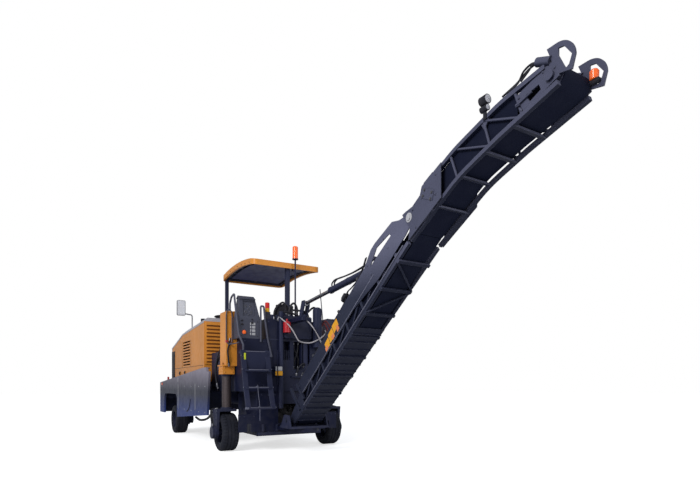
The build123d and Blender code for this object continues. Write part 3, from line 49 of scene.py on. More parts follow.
AHEAD = Vector((1, 0, 0))
REAR = Vector((-1, 0, 0))
LEFT = Vector((0, 1, 0))
RIGHT = Vector((0, -1, 0))
UP = Vector((0, 0, 1))

# Places on the part that pieces are measured from
plate_side = 0.235
ear_side = 0.251
cabinet_rear = -0.5
fork_side = 1.185
skirt_side = 1.15
hood_side = 1.0
mirror_y = 1.15
column_y = 0.985
seat_y = -0.15
floor_top = 1.398
hub_z = 0.325
drum_x = 0.02
drum_z = 0.59
canopy_rear = -0.355
canopy_front = 1.397
canopy_edge = 3.185

# Corners nearer than this are joined.
weld = 0.00001

# The lower conveyor section's slope and foot, as in the part
incline = radians(36)
foot = (-1.5, 0.74)
ALONG = Vector((-cos(incline), 0, sin(incline)))
ACROSS = Vector((sin(incline), 0, cos(incline)))
conveyor_turn = Matrix((ALONG, RIGHT, ACROSS)).transposed().to_4x4()


def at(x, y, z):
    """Place measured from the rear axle."""
    return Vector((axle_x + x, y, z))


def spots(points):
    """Places measured from the rear axle."""
    return [at(*point) for point in points]


def on_side(points, y):
    """Places at one width, each given by its distance and height."""
    return [at(x, y, z) for x, z in points]


def grid(xs, ys, zs):
    """Places at every crossing of the given distances, widths and heights."""
    return [at(x, y, z) for x in xs for y in ys for z in zs]


def circle(middle, radius, count, shift=0.0):
    """Places evenly round a middle, facing sideways."""
    turns = (2 * pi * (step + shift) / count for step in range(count))
    return [middle + radius * Vector((cos(turn), 0, sin(turn))) for turn in turns]


def up_conveyor(along, across, y):
    """Place on the lower conveyor section, along its slope and square to it."""
    return at(foot[0], y, foot[1]) + along * ALONG + across * ACROSS


# Materials
def fill(tree, made, **values):
    """Sets a node's sockets and properties by name, with _ for a space; outputs are linked."""
    for key, value in values.items():
        socket = made.inputs.get(key.replace("_", " "))
        if socket is None:
            setattr(made, key, value)
        else:
            feed(tree, socket, value)
    return made


def feed(tree, socket, value):
    """Sets a socket to a number or a colour, or links an output to it."""
    if isinstance(value, bpy.types.NodeSocket):
        tree.links.new(value, socket)
    elif socket.type == "RGBA":
        socket.default_value = (*value, 1)
    else:
        socket.default_value = value


def node(tree, kind, **values):
    """New shader node."""
    return fill(tree, tree.nodes.new(f"ShaderNode{kind}"), **values)


def shader_base(name):
    """New material with its node tree, its shader and places over the rest shape."""
    material = bpy.data.materials.new(name)
    material.use_nodes = True
    tree = material.node_tree
    return material, tree, tree.nodes["Principled BSDF"], node(tree, "TexCoord").outputs["Object"]


def spread(tree, value, low, high, to_low=0.0, to_high=1.0):
    """Value mapped from one range to another, held at its ends."""
    made = node(tree, "MapRange", Value=value, From_Min=low, From_Max=high, To_Min=to_low, To_Max=to_high)
    return made.outputs["Result"]


def texture(tree, coords, scale, detail):
    """Noise over the rest shape, as Blender gives it."""
    return node(tree, "TexNoise", Vector=coords, Scale=scale, Detail=detail).outputs["Fac"]


def noise(tree, coords, scale, detail=4.0, low=0.35, high=0.65):
    """Noise stretched to run from 0 to 1."""
    return spread(tree, texture(tree, coords, scale, detail), low, high)


def math_node(tree, operation, first, second):
    """Result of a sum with two values, held between 0 and 1."""
    made = node(tree, "Math", operation=operation, use_clamp=True)
    for socket, value in zip(made.inputs, (first, second)):
        feed(tree, socket, value)
    return made.outputs["Value"]


def times(tree, first, second):
    """Product of two values."""
    return math_node(tree, "MULTIPLY", first, second)


def mix_colour(tree, factor, first, second):
    """Colour between two, by a factor. A mix node's colour sockets are numbers 6 and 7."""
    made = node(tree, "Mix", data_type="RGBA")
    for index, value in ((0, factor), (6, first), (7, second)):
        feed(tree, made.inputs[index], value)
    return made.outputs[2]


def edge_mask(tree, radius):
    """One along edges, from how a rounded normal turns away from the face."""
    rounded = node(tree, "Bevel", Radius=radius, samples=4).outputs["Normal"]
    product = node(tree, "VectorMath", operation="DOT_PRODUCT")
    feed(tree, product.inputs[0], rounded)
    feed(tree, product.inputs[1], node(tree, "NewGeometry").outputs["Normal"])
    return spread(tree, product.outputs["Value"], 0.99, 0.75), rounded


def painted(
    name, colour, edge, dust=0.3, rough=0.42, under=0.0, bands=(), runs=0.15, shine=0.1, right=None
):
    """Machine paint: uneven tone, runs, dust towards the ground and on ledges, rubbed edges.

    under darkens faces that look down: painted shade. Each band is a height,
    a height below it and the colour that the paint turns to between them.
    right is the colour that the paint turns to on the machine's right side: painted shade.
    """
    material, tree, shader, coords = shader_base(name)
    place = node(tree, "SeparateXYZ", Vector=coords).outputs
    normal = node(tree, "TexCoord").outputs["Normal"]
    facing = node(tree, "SeparateXYZ", Vector=normal).outputs["Z"]
    body = colour
    for high, low, other in bands:
        body = mix_colour(tree, spread(tree, place["Z"], high, low), body, other)
    # Painted shade: the paint turns dark on the machine's right side.
    if right:
        body = mix_colour(tree, spread(tree, place["Y"], 0.05, -0.05), body, right)
    shade = mix_colour(tree, 0.82, (0, 0, 0), body)
    body = mix_colour(tree, times(tree, noise(tree, coords, 1.7), 0.6), body, shade)
    tall = node(tree, "Mapping", Vector=coords, Scale=(9, 9, 0.8)).outputs["Vector"]
    body = mix_colour(tree, times(tree, noise(tree, tall, 2.0, 5, 0.5, 0.75), runs), body, shade)
    speckle = noise(tree, coords, 9, 5, 0.4, 0.75)
    ledge = times(tree, spread(tree, facing, 0.5, 0.95), 0.8)
    settled = math_node(tree, "ADD", spread(tree, place["Z"], 1.6, 0.2), ledge)
    dusty = times(tree, times(tree, settled, speckle), dust)
    body = mix_colour(tree, dusty, body, (0.15, 0.135, 0.125))
    # Painted shade: faces that look down turn near black, by the amount under gives.
    if under:
        below = times(tree, spread(tree, facing, -0.25, -0.75), under)
        body = mix_colour(tree, below, body, (0.006, 0.008, 0.021))
    edges, rounded = edge_mask(tree, 0.005)
    chips = times(tree, edges, noise(tree, coords, 26, 3, 0.4, 0.65))
    body = mix_colour(tree, times(tree, chips, 0.7), body, edge)
    relief = node(
        tree, "Bump", Strength=0.2, Distance=0.004, Height=texture(tree, coords, 45, 3), Normal=rounded
    )
    fill(
        tree, shader, Base_Color=body, Specular_IOR_Level=shine, Normal=relief.outputs["Normal"],
        Roughness=spread(tree, speckle, 0, 1, rough - 0.04, rough + 0.1),
    )
    return material


def rubbery(name, colour, rough=0.75, scale=120, pale=(0.04, 0.038, 0.042), shine=0.15):
    """Rubber or moulded plastic with fine grain and a little grey dust."""
    material, tree, shader, coords = shader_base(name)
    dusty = times(tree, noise(tree, coords, 9, 6, 0.42, 0.75), 0.5)
    relief = node(tree, "Bump", Strength=0.3, Distance=0.003, Height=texture(tree, coords, scale, 3))
    fill(
        tree, shader, Base_Color=mix_colour(tree, dusty, colour, pale), Roughness=rough,
        Specular_IOR_Level=shine, Normal=relief.outputs["Normal"],
    )
    return material


def metallic(name, colour, rough, metal=1.0, streak=40):
    """Bare or plated metal with faint turning marks."""
    material, tree, shader, coords = shader_base(name)
    marks = noise(tree, coords, streak, 5, 0.3, 0.7)
    darker = tuple(0.72 * part for part in colour)
    fill(
        tree, shader, Base_Color=mix_colour(tree, marks, colour, darker), Metallic=metal,
        Roughness=spread(tree, marks, 0, 1, rough, rough + 0.18),
    )
    return material


def lens(name, colour, glow=0.0, rough=0.12):
    """Tinted lamp lens with moulded ribs."""
    material, tree, shader, coords = shader_base(name)
    wave = node(tree, "TexWave", bands_direction="Z", Vector=coords, Scale=45.0, Distortion=0.3)
    ribs = wave.outputs["Fac"]
    relief = node(tree, "Bump", Strength=0.4, Distance=0.004, Height=ribs)
    darker = tuple(0.6 * part for part in colour)
    fill(
        tree, shader, Base_Color=mix_colour(tree, ribs, darker, colour), Roughness=rough, Coat_Weight=0.6,
        Emission_Color=colour, Emission_Strength=glow, Normal=relief.outputs["Normal"],
    )
    return material


machine_yellow = (0.56, 0.215, 0.03)
rubbed_yellow = (0.7, 0.45, 0.22)
yellow = painted("yellow_paint", machine_yellow, rubbed_yellow, dust=0.12, rough=0.34, shine=0.18)
# The lifting columns' yellow, with painted shade on the right-hand column.
column_yellow_and_shade = painted(
    "column_yellow_and_shade", machine_yellow, rubbed_yellow, dust=0.12, rough=0.34, shine=0.18,
    right=(0.017, 0.019, 0.046),
)
# Painted reflection on the skirts: pale at the top, dark in the middle and bluish low down.
skirt_reflection_bands = ((1.4, 1.02, (0.036, 0.038, 0.055)), (0.95, 0.55, (0.026, 0.046, 0.175)))
slate = painted(
    "slate_paint", (0.21, 0.19, 0.235), (0.2, 0.2, 0.24), dust=0.08, rough=0.36, bands=skirt_reflection_bands,
    runs=0.04, shine=0.05,
)
# under paints shade onto the faces that look down in the dark, deep, grey and truss paints.
dark = painted("dark_paint", (0.019, 0.022, 0.048), (0.09, 0.095, 0.15), dust=0.12, under=0.7)
deep = painted("deep_paint", (0.0085, 0.0105, 0.029), (0.05, 0.053, 0.09), dust=0.08, under=0.7)
# Dark blue painted shade for the sheet under the canopy's roof.
canopy_underside_shade = painted("canopy_underside_shade", (0.024, 0.028, 0.105), (0.05, 0.053, 0.11), dust=0.05)
console_paint = painted(
    "console_paint", (0.052, 0.055, 0.078), (0.12, 0.12, 0.16), dust=0.1, runs=0.05
)
rail_paint = painted("rail_paint", (0.07, 0.072, 0.1), (0.2, 0.2, 0.25), dust=0.15)
side_bands = ((2.75, 2.25, (0.017, 0.02, 0.038)),)
grey = painted(
    "grey_paint", (0.085, 0.088, 0.135), (0.2, 0.2, 0.28), dust=0.06, under=0.95, bands=side_bands,
    runs=0.08,
)
truss = painted(
    "truss_paint", (0.055, 0.058, 0.092), (0.19, 0.195, 0.26), dust=0.06, under=0.95, runs=0.08
)
silver = painted("silver_paint", (0.36, 0.345, 0.38), (0.5, 0.5, 0.52), dust=0.1, shine=0.4)
red = painted("red_paint", (0.36, 0.012, 0.018), (0.4, 0.15, 0.15), dust=0.1, rough=0.3, shine=0.4)
signal = painted(
    "signal_paint", (0.5, 0.02, 0.02), (0.5, 0.2, 0.1), dust=0.1, rough=0.3,
    bands=((2.435, 2.425, (0.62, 0.33, 0.03)), (2.375, 2.365, (0.02, 0.02, 0.035))),
)
cast = painted("cast_drum", (0.02, 0.019, 0.023), (0.16, 0.15, 0.15), dust=0.35, rough=0.6)
amber_paint = painted("amber_paint", (0.62, 0.29, 0.02), (0.6, 0.4, 0.2), dust=0.1)
orange_paint = painted("orange_paint", (0.6, 0.2, 0.08), (0.6, 0.4, 0.2), dust=0.1)
pale_paint = painted("pale_paint", (0.34, 0.34, 0.36), (0.5, 0.5, 0.5), dust=0.15)
edge_paint = painted("edge_paint", (0.1, 0.103, 0.145), (0.25, 0.25, 0.3), dust=0.1)
dial_paint = painted(
    "dial_face", (0.035, 0.036, 0.05), (0.2, 0.2, 0.22), dust=0.05, shine=0.5, rough=0.15
)
# Painted shadow: dark orange for the gaps between the rear louvres.
louvre_slot_shadow = painted("slot_shade", (0.17, 0.055, 0.014), (0.12, 0.06, 0.03), dust=0.1, shine=0.1)
lime = painted("lime_paint", (0.45, 0.5, 0.03), (0.5, 0.5, 0.3), dust=0.1)
ram = metallic("dusty_ram", (0.06, 0.045, 0.047), 0.42, metal=0.5)
chrome = metallic("rod_chrome", (0.4, 0.4, 0.43), 0.14)
steel = metallic("dull_steel", (0.16, 0.16, 0.18), 0.36)
glass = metallic("mirror_glass", (0.7, 0.71, 0.75), 0.3, metal=0.4, streak=3)
tyre_black = rubbery("tyre_rubber", (0.011, 0.012, 0.019), rough=0.75, pale=(0.03, 0.03, 0.036))
belt_black = rubbery(
    "belt_rubber", (0.005, 0.0065, 0.017), rough=0.8, scale=60, pale=(0.009, 0.011, 0.022), shine=0.06
)
black = rubbery("black_plastic", (0.011, 0.011, 0.016), rough=0.5, scale=300)
hose_black = rubbery("hose_rubber", (0.011, 0.011, 0.016), rough=0.45, scale=200)
hose_pale = rubbery("pale_hose", (0.36, 0.34, 0.36), rough=0.5, scale=200, pale=(0.2, 0.19, 0.2))
hose_red = rubbery("red_hose", (0.1, 0.016, 0.02), rough=0.5, scale=200, pale=(0.05, 0.03, 0.03))
vinyl = rubbery("seat_vinyl", (0.013, 0.013, 0.016), rough=0.45, scale=500)
amber = lens("amber_lens", (0.9, 0.13, 0.01), glow=0.25)
red_lens = lens("red_lens", (0.45, 0.02, 0.02), glow=0.1)
clear_lens = lens("clear_lens", (0.45, 0.45, 0.5), rough=0.08)

# Every other piece of the part is in dark paint.
node_finish = {
    "drum_housing": deep, "skirt_left": slate, "skirt_right": slate, "column_housings": column_yellow_and_shade,
    "column_rams": ram, "rear_cabinet": deep, "seat": vinyl, "console": console_paint,
    "handrails": rail_paint, "canopy_roof": yellow, "beacon": amber, "signal_lamp": signal,
    "extinguisher": red, "hood_shell": yellow, "hood_cover": silver, "air_intake": black,
    "mirrors": pale_paint, "milling_drum": cast, "lower_frame": grey, "lower_belt": belt_black,
    "upper_frame": truss, "upper_belt": belt_black, "conveyor_lamps": black, "lift_rod": chrome,
}
for name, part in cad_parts.items():
    part.data.materials.clear()
    part.data.materials.append(tyre_black if name.endswith("_tyre") else node_finish.get(name, dark))


# Shapes
def join_rings(mesh, rings, caps=True):
    """Faces between rings of corners, and over both ends."""
    corners = [[mesh.verts.new(place) for place in ring] for ring in rings]
    count = len(corners[0])
    for low, high in zip(corners, corners[1:]):
        for step in range(count):
            after = (step + 1) % count
            mesh.faces.new((low[step], low[after], high[after], high[step]))
    if caps:
        mesh.faces.new(list(reversed(corners[0])))
        mesh.faces.new(corners[-1])


def lathe(mesh, start, direction, profile, sides=24):
    """Turned shape: profile is pairs of distance along the direction and radius."""
    turn = direction.to_track_quat("Z", "Y")
    rings = []
    for distance, radius in profile:
        ring = []
        for step in range(sides):
            angle = 2 * pi * step / sides
            ring.append(start + turn @ Vector((radius * cos(angle), radius * sin(angle), distance)))
        rings.append(ring)
    join_rings(mesh, rings)


def rod(mesh, start, end, radius):
    """Round bar with its two ends chamfered."""
    length = (end - start).length
    cut = 0.15 * radius
    profile = ((0, radius - cut), (cut, radius), (length - cut, radius), (length, radius - cut))
    lathe(mesh, start, (end - start).normalized(), profile, 14)


def smooth_line(points):
    """Places on a smooth line through the given ones."""
    steps = 8
    ends = [2 * points[0] - points[1], *points, 2 * points[-1] - points[-2]]
    line = []
    for a, b, c, d in zip(ends, ends[1:], ends[2:], ends[3:]):
        for step in range(steps):
            t = step / steps
            bend = (2 * a - 5 * b + 4 * c - d) * t**2 + (3 * b - a - 3 * c + d) * t**3
            line.append((2 * b + (c - a) * t + bend) / 2)
    line.append(points[-1])
    return line


def tube(mesh, points, radius):
    """Round tube along a smooth line."""
    sides = 10
    line = smooth_line(points)
    rings = []
    side = None
    for index, place in enumerate(line):
        run = (line[min(index + 1, len(line) - 1)] - line[max(index - 1, 0)]).normalized()
        side = run.orthogonal() if side is None else side - side.dot(run) * run
        side.normalize()
        other = run.cross(side)
        turns = [2 * pi * step / sides for step in range(sides)]
        rings.append([place + radius * (cos(a) * side + sin(a) * other) for a in turns])
    join_rings(mesh, rings)


def fitting(mesh, place, direction, radius):
    """Crimped collar and hexagon nut at a hose's end."""
    collar = ((-radius, 1.1 * radius), (-radius, 1.35 * radius), (2.6 * radius, 1.35 * radius))
    lathe(mesh, place, direction, (*collar, (3 * radius, 1.1 * radius)), 12)
    lathe(mesh, place, -direction, ((0, 1.5 * radius), (1.3 * radius, 1.5 * radius)), 6)


def hoses(name, routes, radius, finish):
    """Hoses held at both ends, their collars and nuts a piece of their own."""
    mesh = bmesh.new()
    metal = bmesh.new()
    for route in routes:
        points = spots(route)
        tube(mesh, points, radius)
        line = smooth_line(points)
        fitting(metal, line[0], (line[1] - line[0]).normalized(), radius)
        fitting(metal, line[-1], (line[-2] - line[-1]).normalized(), radius)
    piece(name, mesh, finish)
    piece(f"{name}_ends", metal, steel)


def box(mesh, middle, size, turn=Matrix.Identity(4), round_by=0.004):
    """Block with rounded edges."""
    spot = Matrix.Translation(middle) @ turn @ Matrix.Diagonal((*size, 1))
    corners = bmesh.ops.create_cube(mesh, size=1, matrix=spot)["verts"]
    edges = list(dict.fromkeys(edge for corner in corners for edge in corner.link_edges))
    reach = min(round_by, 0.4 * min(size))
    bmesh.ops.bevel(mesh, geom=edges, offset=reach, segments=2, profile=0.6, affect="EDGES")


def span(mesh, low, high, round_by=0.004):
    """Block with rounded edges between two corners measured from the rear axle."""
    first, last = at(*low), at(*high)
    size = [abs(b - a) for a, b in zip(first, last)]
    box(mesh, (first + last) / 2, size, round_by=round_by)


def sheet(mesh, near, far, stations):
    """Thin sheet between two widths; each station is a distance, a bottom and a top."""
    join_rings(mesh, [
        spots(((x, near, low), (x, far, low), (x, far, high), (x, near, high)))
        for x, low, high in stations
    ])


def plate(mesh, outline, push):
    """Flat plate with the outline's corners, as thick as the push."""
    join_rings(mesh, [outline, [corner + push for corner in outline]])


def bolts(mesh, places, direction, size):
    """Hexagon heads on washers, sunk a little where they stand."""
    for place in places:
        lathe(mesh, place - 0.001 * direction, direction, ((0, 1.4 * size), (0.3 * size, 1.4 * size)), 14)
        lathe(mesh, place, direction, ((0, size), (0.8 * size, size), (size, 0.8 * size)), 6)


def added(name, data):
    """New object in the scene."""
    made = bpy.data.objects.new(name, data)
    bpy.context.collection.objects.link(made)
    return made


def shaped(name, mesh):
    """New object from the shapes gathered in a mesh."""
    data = bpy.data.meshes.new(name)
    mesh.to_mesh(data)
    mesh.free()
    return added(name, data)


def smoothed(data):
    """Smooth shading on every face."""
    for face in data.polygons:
        face.use_smooth = True


def piece(name, mesh, finish, body="machine", angle=35):
    """Object from the shapes gathered in a mesh, riding on a body."""
    bmesh.ops.recalc_face_normals(mesh, faces=mesh.faces)
    made = shaped(name, mesh)
    smoothed(made.data)
    made.data.set_sharp_from_angle(angle=radians(angle))
    made.data.materials.append(finish)
    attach(made, body)
    return made


def blocks(name, finish, body, corners, round_by=0.004):
    """Piece made of rounded blocks, each between two corners."""
    mesh = bmesh.new()
    for low, high in corners:
        span(mesh, low, high, round_by)
    piece(name, mesh, finish, body)


def turned(name, finish, body, shapes, sides=24):
    """Piece made of turned shapes, each a start, a direction and a profile."""
    mesh = bmesh.new()
    for start, direction, profile in shapes:
        lathe(mesh, start, direction, profile, sides)
    piece(name, mesh, finish, body)


# Wheels
def tyre(wheel):
    """Tyre with a ribbed middle and grooved shoulder blocks, in the CAD tyre's place."""
    low, high = (Vector(corner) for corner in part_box(f"{wheel}_tyre"))
    middle = (low + high) / 2
    radius = (high.z - low.z) / 2
    # Distance from the middle, rise over the CAD tyre, and whether the grooves cut there
    side = (
        (0.115, -0.1255, 0), (0.132, -0.113, 0), (0.1385, -0.09, 0), (0.14, -0.063, 0),
        (0.1395, -0.047, 0), (0.136, -0.044, 0), (0.135, -0.03, 0), (0.126, -0.014, 1),
        (0.11, -0.0035, 1), (0.098, 0, 1), (0.064, 0, 1), (0.061, -0.009, 0), (0.052, -0.009, 0),
        (0.049, 0, 0), (0.008, 0, 0), (0.005, -0.009, 0),
    )
    section = [*side, *[(-across, rise, cut) for across, rise, cut in reversed(side)]]
    blocks_round = 34
    groove_depth = 0.009
    stagger = 0.06
    rings = []
    for block in range(blocks_round):
        for share, sunk in ((0, 0), (0.7, 0), (0.74, 1), (0.96, 1)):
            turn = 2 * pi * (block + share) / blocks_round
            ring = []
            for across, rise, cut in section:
                lean = turn + (stagger if across < 0 else 0)
                reach = radius + rise - groove_depth * sunk * cut
                ring.append(middle + Vector((reach * cos(lean), across, reach * sin(lean))))
            rings.append(ring)
    mesh = bmesh.new()
    join_rings(mesh, [*rings, rings[0]], caps=False)
    bmesh.ops.remove_doubles(mesh, verts=mesh.verts, dist=weld)
    made = piece(f"{wheel}_tread", mesh, tyre_black, f"{wheel}_wheel", angle=28)
    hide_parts(f"{wheel}_tyre")


def wheel_details(wheel, outward):
    """Nuts round the hub and the rim's web, and a tyre valve."""
    low, high = (Vector(corner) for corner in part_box(f"{wheel}_rim"))
    middle = (low + high) / 2
    mesh = bmesh.new()
    for side in (1, -1):
        out = side * LEFT
        bolts(mesh, circle(middle + 0.06 * out, 0.068, 8), out, 0.009)
        bolts(mesh, circle(middle + 0.012 * out, 0.168, 12, 0.5), out, 0.007)
    valve = middle + Vector((0, 0.02 * outward, 0.178))
    rod(mesh, valve, valve + 0.05 * LEFT * outward, 0.005)
    piece(f"{wheel}_nuts", mesh, steel, f"{wheel}_wheel")


def fork_scrapers():
    """A strip ahead of each rear tyre, hung from the fork's crown plate."""
    blocks("fork_scrapers", dark, "machine", [
        ((0.125, side * 0.86, 0.642), (0.149, side * 1.13, 0.7)) for side in (1, -1)
    ])


# Drum
def drum_tips():
    """Carbide tips at the ends of the cutting teeth."""
    mesh = bmesh.new()
    rows = 4
    teeth = 11
    half_width = 0.473
    root_reach = 0.291
    tip_reach = 0.361
    tip_ahead = 0.062
    tip_length = 0.03
    for row in range(rows):
        for tooth in range(teeth):
            share = (tooth + 0.5) / teeth
            turn = radians(360 * row / rows + 200 * abs(share - 0.5))
            out = Vector((cos(turn), 0, sin(turn)))
            over = Vector((-sin(turn), 0, cos(turn)))
            middle = at(drum_x, half_width * (2 * share - 1), drum_z)
            root = middle + root_reach * out
            tip = middle + tip_reach * out + tip_ahead * over
            slope = (tip - root).normalized()
            foot_of_tip = tip - tip_length * slope
            lathe(mesh, foot_of_tip, slope, ((0, 0.016), (0.02, 0.015), (0.028, 0.006)), 12)
    piece("drum_tips", mesh, steel, "drum")


# Conveyor, lower section
def lower_conveyor():
    """Coloured patches, bolts, edge strips, inner sheets, pin washers and a lamp."""
    patches = (
        ((1.44, 0.31), (1.44, 0.435), (1.60, 0.44), (1.60, 0.33)),
        ((1.28, 0.27), (1.28, 0.41), (1.43, 0.42), (1.43, 0.28)),
        ((1.13, 0.26), (1.13, 0.37), (1.27, 0.385), (1.27, 0.255)),
    )
    spots_on_side = (
        ((1.52, 0.26), (1.52, 0.36), (1.58, 0.35), (1.59, 0.27)),
        ((1.36, 0.26), (1.34, 0.33), (1.42, 0.34), (1.43, 0.27)),
        ((1.11, 0.25), (1.11, 0.31), (1.19, 0.32), (1.20, 0.25)),
    )
    sunk = 0.001
    bay_pitch = 0.43
    strip_y = 0.23
    for name, shapes, finish, lift in (
        ("side_patches", patches, amber_paint, 0.0012), ("side_spots", spots_on_side, orange_paint, 0.002),
    ):
        mesh = bmesh.new()
        for shape in shapes:
            outline = [up_conveyor(along, across, plate_side - sunk) for along, across in shape]
            plate(mesh, outline, (lift + sunk) * LEFT)
        piece(name, mesh, finish, "conveyor_lower")
    heads = bmesh.new()
    strips = bmesh.new()
    sheets = bmesh.new()
    washers = bmesh.new()
    for side in (1, -1):
        out = side * LEFT
        bolts(heads, [
            up_conveyor(bay_pitch * bay - 0.02, across, side * plate_side)
            for bay in range(1, 8) for across in (0.27, 0.425)
        ], out, 0.009)
        for across, end in ((0.062, 3.2), (0.236, 2.6)):
            first, last = (up_conveyor(along, across, side * strip_y) for along in (0.05, end))
            box(strips, (first + last) / 2, ((last - first).length, 0.02, 0.012), conveyor_turn, 0.003)
        box(sheets, up_conveyor(1.55, 0.19, side * 0.1845), (3.3, 0.005, 0.28), conveyor_turn, 0.001)
        eye = up_conveyor(3.464, 0.2, side * 0.2525)
        lathe(washers, eye, out, ((0, 0.052), (0.004, 0.052), (0.006, 0.046)), 28)
        lathe(washers, eye, out, ((0.004, 0.034), (0.016, 0.034), (0.018, 0.028)), 28)
    piece("side_plate_bolts", heads, grey, "conveyor_lower")
    piece("lower_edge_strips", strips, edge_paint, "conveyor_lower")
    piece("lower_side_sheets", sheets, belt_black, "conveyor_lower")
    piece("fold_pin_washers", washers, pale_paint, "conveyor_lower")
    mesh = bmesh.new()
    foot_of_lamp = up_conveyor(1.92, 0.452, 0.21)
    lamp = foot_of_lamp + 0.075 * ACROSS
    rod(mesh, foot_of_lamp, foot_of_lamp + 0.05 * ACROSS, 0.012)
    box(mesh, lamp, (0.1, 0.08, 0.06), conveyor_turn, 0.012)
    lathe(mesh, lamp - 0.05 * ALONG, -ALONG, ((0, 0.034), (0.018, 0.036), (0.02, 0.03)))
    piece("side_lamp", mesh, black, "conveyor_lower")


def conveyor_hoses():
    """Hydraulic hoses along the left side plate's top edge, and their clips."""
    route = (
        (0.12, 0.468), (0.5, 0.470), (1.0, 0.469), (1.5, 0.470), (1.86, 0.474), (2.0, 0.53),
        (2.12, 0.50), (2.28, 0.475), (2.45, 0.50), (2.58, 0.55),
    )
    mesh = bmesh.new()
    for shift, y in ((0.0, 0.221), (0.02, 0.201)):
        tube(mesh, [up_conveyor(along, across + shift, y) for along, across in route], 0.0085)
    piece("conveyor_hoses", mesh, hose_black, "conveyor_lower")
    mesh = bmesh.new()
    for along in (0.3, 0.75, 1.25, 1.7, 2.3):
        box(mesh, up_conveyor(along, 0.471, 0.215), (0.03, 0.06, 0.034), conveyor_turn, 0.004)
    piece("hose_clips", mesh, steel, "conveyor_lower")


# Conveyor, upper section
def upper_conveyor():
    """Lamps, fasteners, fold plates, inner sheets and the belt motor's hoses."""
    mesh = bmesh.new()
    lamp = at(-6.075, -0.178, 3.57)
    box(mesh, lamp, (0.09, 0.05, 0.03), round_by=0.006)
    piece("end_lamp_foot", mesh, black, "conveyor_upper")
    lens_place = lamp + Vector((0, 0.008, 0.014))
    turned("end_lamp", amber, "conveyor_upper", [
        (lens_place, UP, ((0, 0.036), (0.06, 0.038), (0.075, 0.028))),
    ])
    sunk = 0.001
    turned("work_lamp_lenses", clear_lens, "conveyor_upper", [
        (at(face, 0.229, z) - sunk * turn, turn, ((0, 0.84 * r), (0.003, 0.84 * r), (0.008, 0.5 * r)))
        for z, r in ((3.685, 0.042), (3.61, 0.028))
        for face, turn in ((-5.31, REAR), (-5.23, AHEAD))
    ])
    fasteners = bmesh.new()
    plates = bmesh.new()
    heads = bmesh.new()
    plate_thickness = 0.008
    for side in (1, -1):
        out = side * LEFT
        on_plates = (
            (-5.66, 3.42), (-5.64, 3.53), (-5.88, 3.62), (-5.99, 3.6), (-5.97, 3.55), (-5.9, 3.46),
        )
        on_ears = ((-4.25, 3.0), (-4.4, 3.08), (-4.62, 3.25), (-4.62, 3.05), (-4.3, 2.8))
        bolts(fasteners, on_side(on_plates, side * 0.209), out, 0.009)
        bolts(fasteners, on_side(on_ears, side * ear_side), out, 0.01)
        screw = at(-5.62, side * 0.219, 3.47)
        rod(fasteners, screw, screw + Vector((-0.16, 0, 0.042)), 0.009)
        lathe(fasteners, screw, AHEAD, ((-0.04, 0.018), (0.0, 0.018)), 6)
        corners = ((-4.44, 3.175), (-4.6, 3.1), (-4.575, 3.0), (-4.41, 3.075))
        plate(plates, on_side(corners, side * ear_side), plate_thickness * out)
        corners = ((-4.455, 3.145), (-4.57, 3.085), (-4.55, 3.025), (-4.43, 3.09))
        bolts(heads, on_side(corners, side * (ear_side + plate_thickness)), out, 0.012)
    piece("take_up_fasteners", fasteners, truss, "conveyor_upper")
    piece("fold_plates", plates, truss, "conveyor_upper")
    piece("fold_plate_bolts", heads, steel, "conveyor_upper")
    truss_line = (
        (-4.42, 2.85, 3.19), (-4.6, 2.955, 3.275), (-4.85, 3.1, 3.39), (-5.0, 3.16, 3.44),
        (-5.2, 3.225, 3.505), (-5.43, 3.3, 3.57), (-5.6, 3.35, 3.6),
    )
    for name, side, start in (("left_inner_sheet", 1, 0.0), ("right_inner_sheet", -1, 0.55)):
        mesh = bmesh.new()
        sheet(mesh, side * 0.174, side * 0.179, [
            (x, low + start * (high - low), high) for x, low, high in truss_line
        ])
        piece(name, mesh, belt_black, "conveyor_upper")
    mesh = bmesh.new()
    for route in (
        (
            (-5.82, 0.2, 3.73), (-5.76, 0.2, 3.755), (-5.68, 0.2, 3.735),
            (-5.62, 0.2, 3.67), (-5.5, 0.2, 3.635),
        ),
        (
            (-5.83, 0.17, 3.74), (-5.77, 0.16, 3.762), (-5.7, 0.17, 3.745),
            (-5.6, 0.19, 3.68), (-5.46, 0.21, 3.63),
        ),
        ((-5.87, 0.21, 3.72), (-5.8, 0.22, 3.73), (-5.74, 0.215, 3.7), (-5.66, 0.21, 3.66)),
    ):
        tube(mesh, spots(route), 0.0085)
    piece("belt_motor_hoses", mesh, hose_black, "conveyor_upper")


def lift_cylinder():
    """Rings round the lift cylinder's barrel and the hoses over it."""
    eye = up_conveyor(2.7, 0.42, 0)
    run = (at(-1.09, 0, 2.46) - eye).normalized()
    over = Vector((-run.z, 0, run.x))
    rings = [
        (1.455, ((0, 0.052), (0.04, 0.052), (0.05, 0.044))),
        (0.06, ((0, 0.046), (0.01, 0.053), (0.05, 0.053), (0.06, 0.05))),
        (0.35, ((0, 0.0515), (0.03, 0.0515))),
        (0.95, ((0, 0.0515), (0.03, 0.0515))),
    ]
    turned("barrel_rings", dark, "barrel", [(eye + place * run, run, profile) for place, profile in rings])
    mesh = bmesh.new()
    route = (
        (1.42, 0.045), (1.40, 0.085), (1.3, 0.11), (1.1, 0.09), (0.8, 0.075),
        (0.5, 0.085), (0.25, 0.1), (0.12, 0.06),
    )
    for side, rise in ((0.022, 0.0), (-0.022, 0.02)):
        tube(mesh, [eye + place * run + (high + rise) * over + side * LEFT for place, high in route], 0.011)
    piece("cylinder_hoses", mesh, hose_black, "barrel")


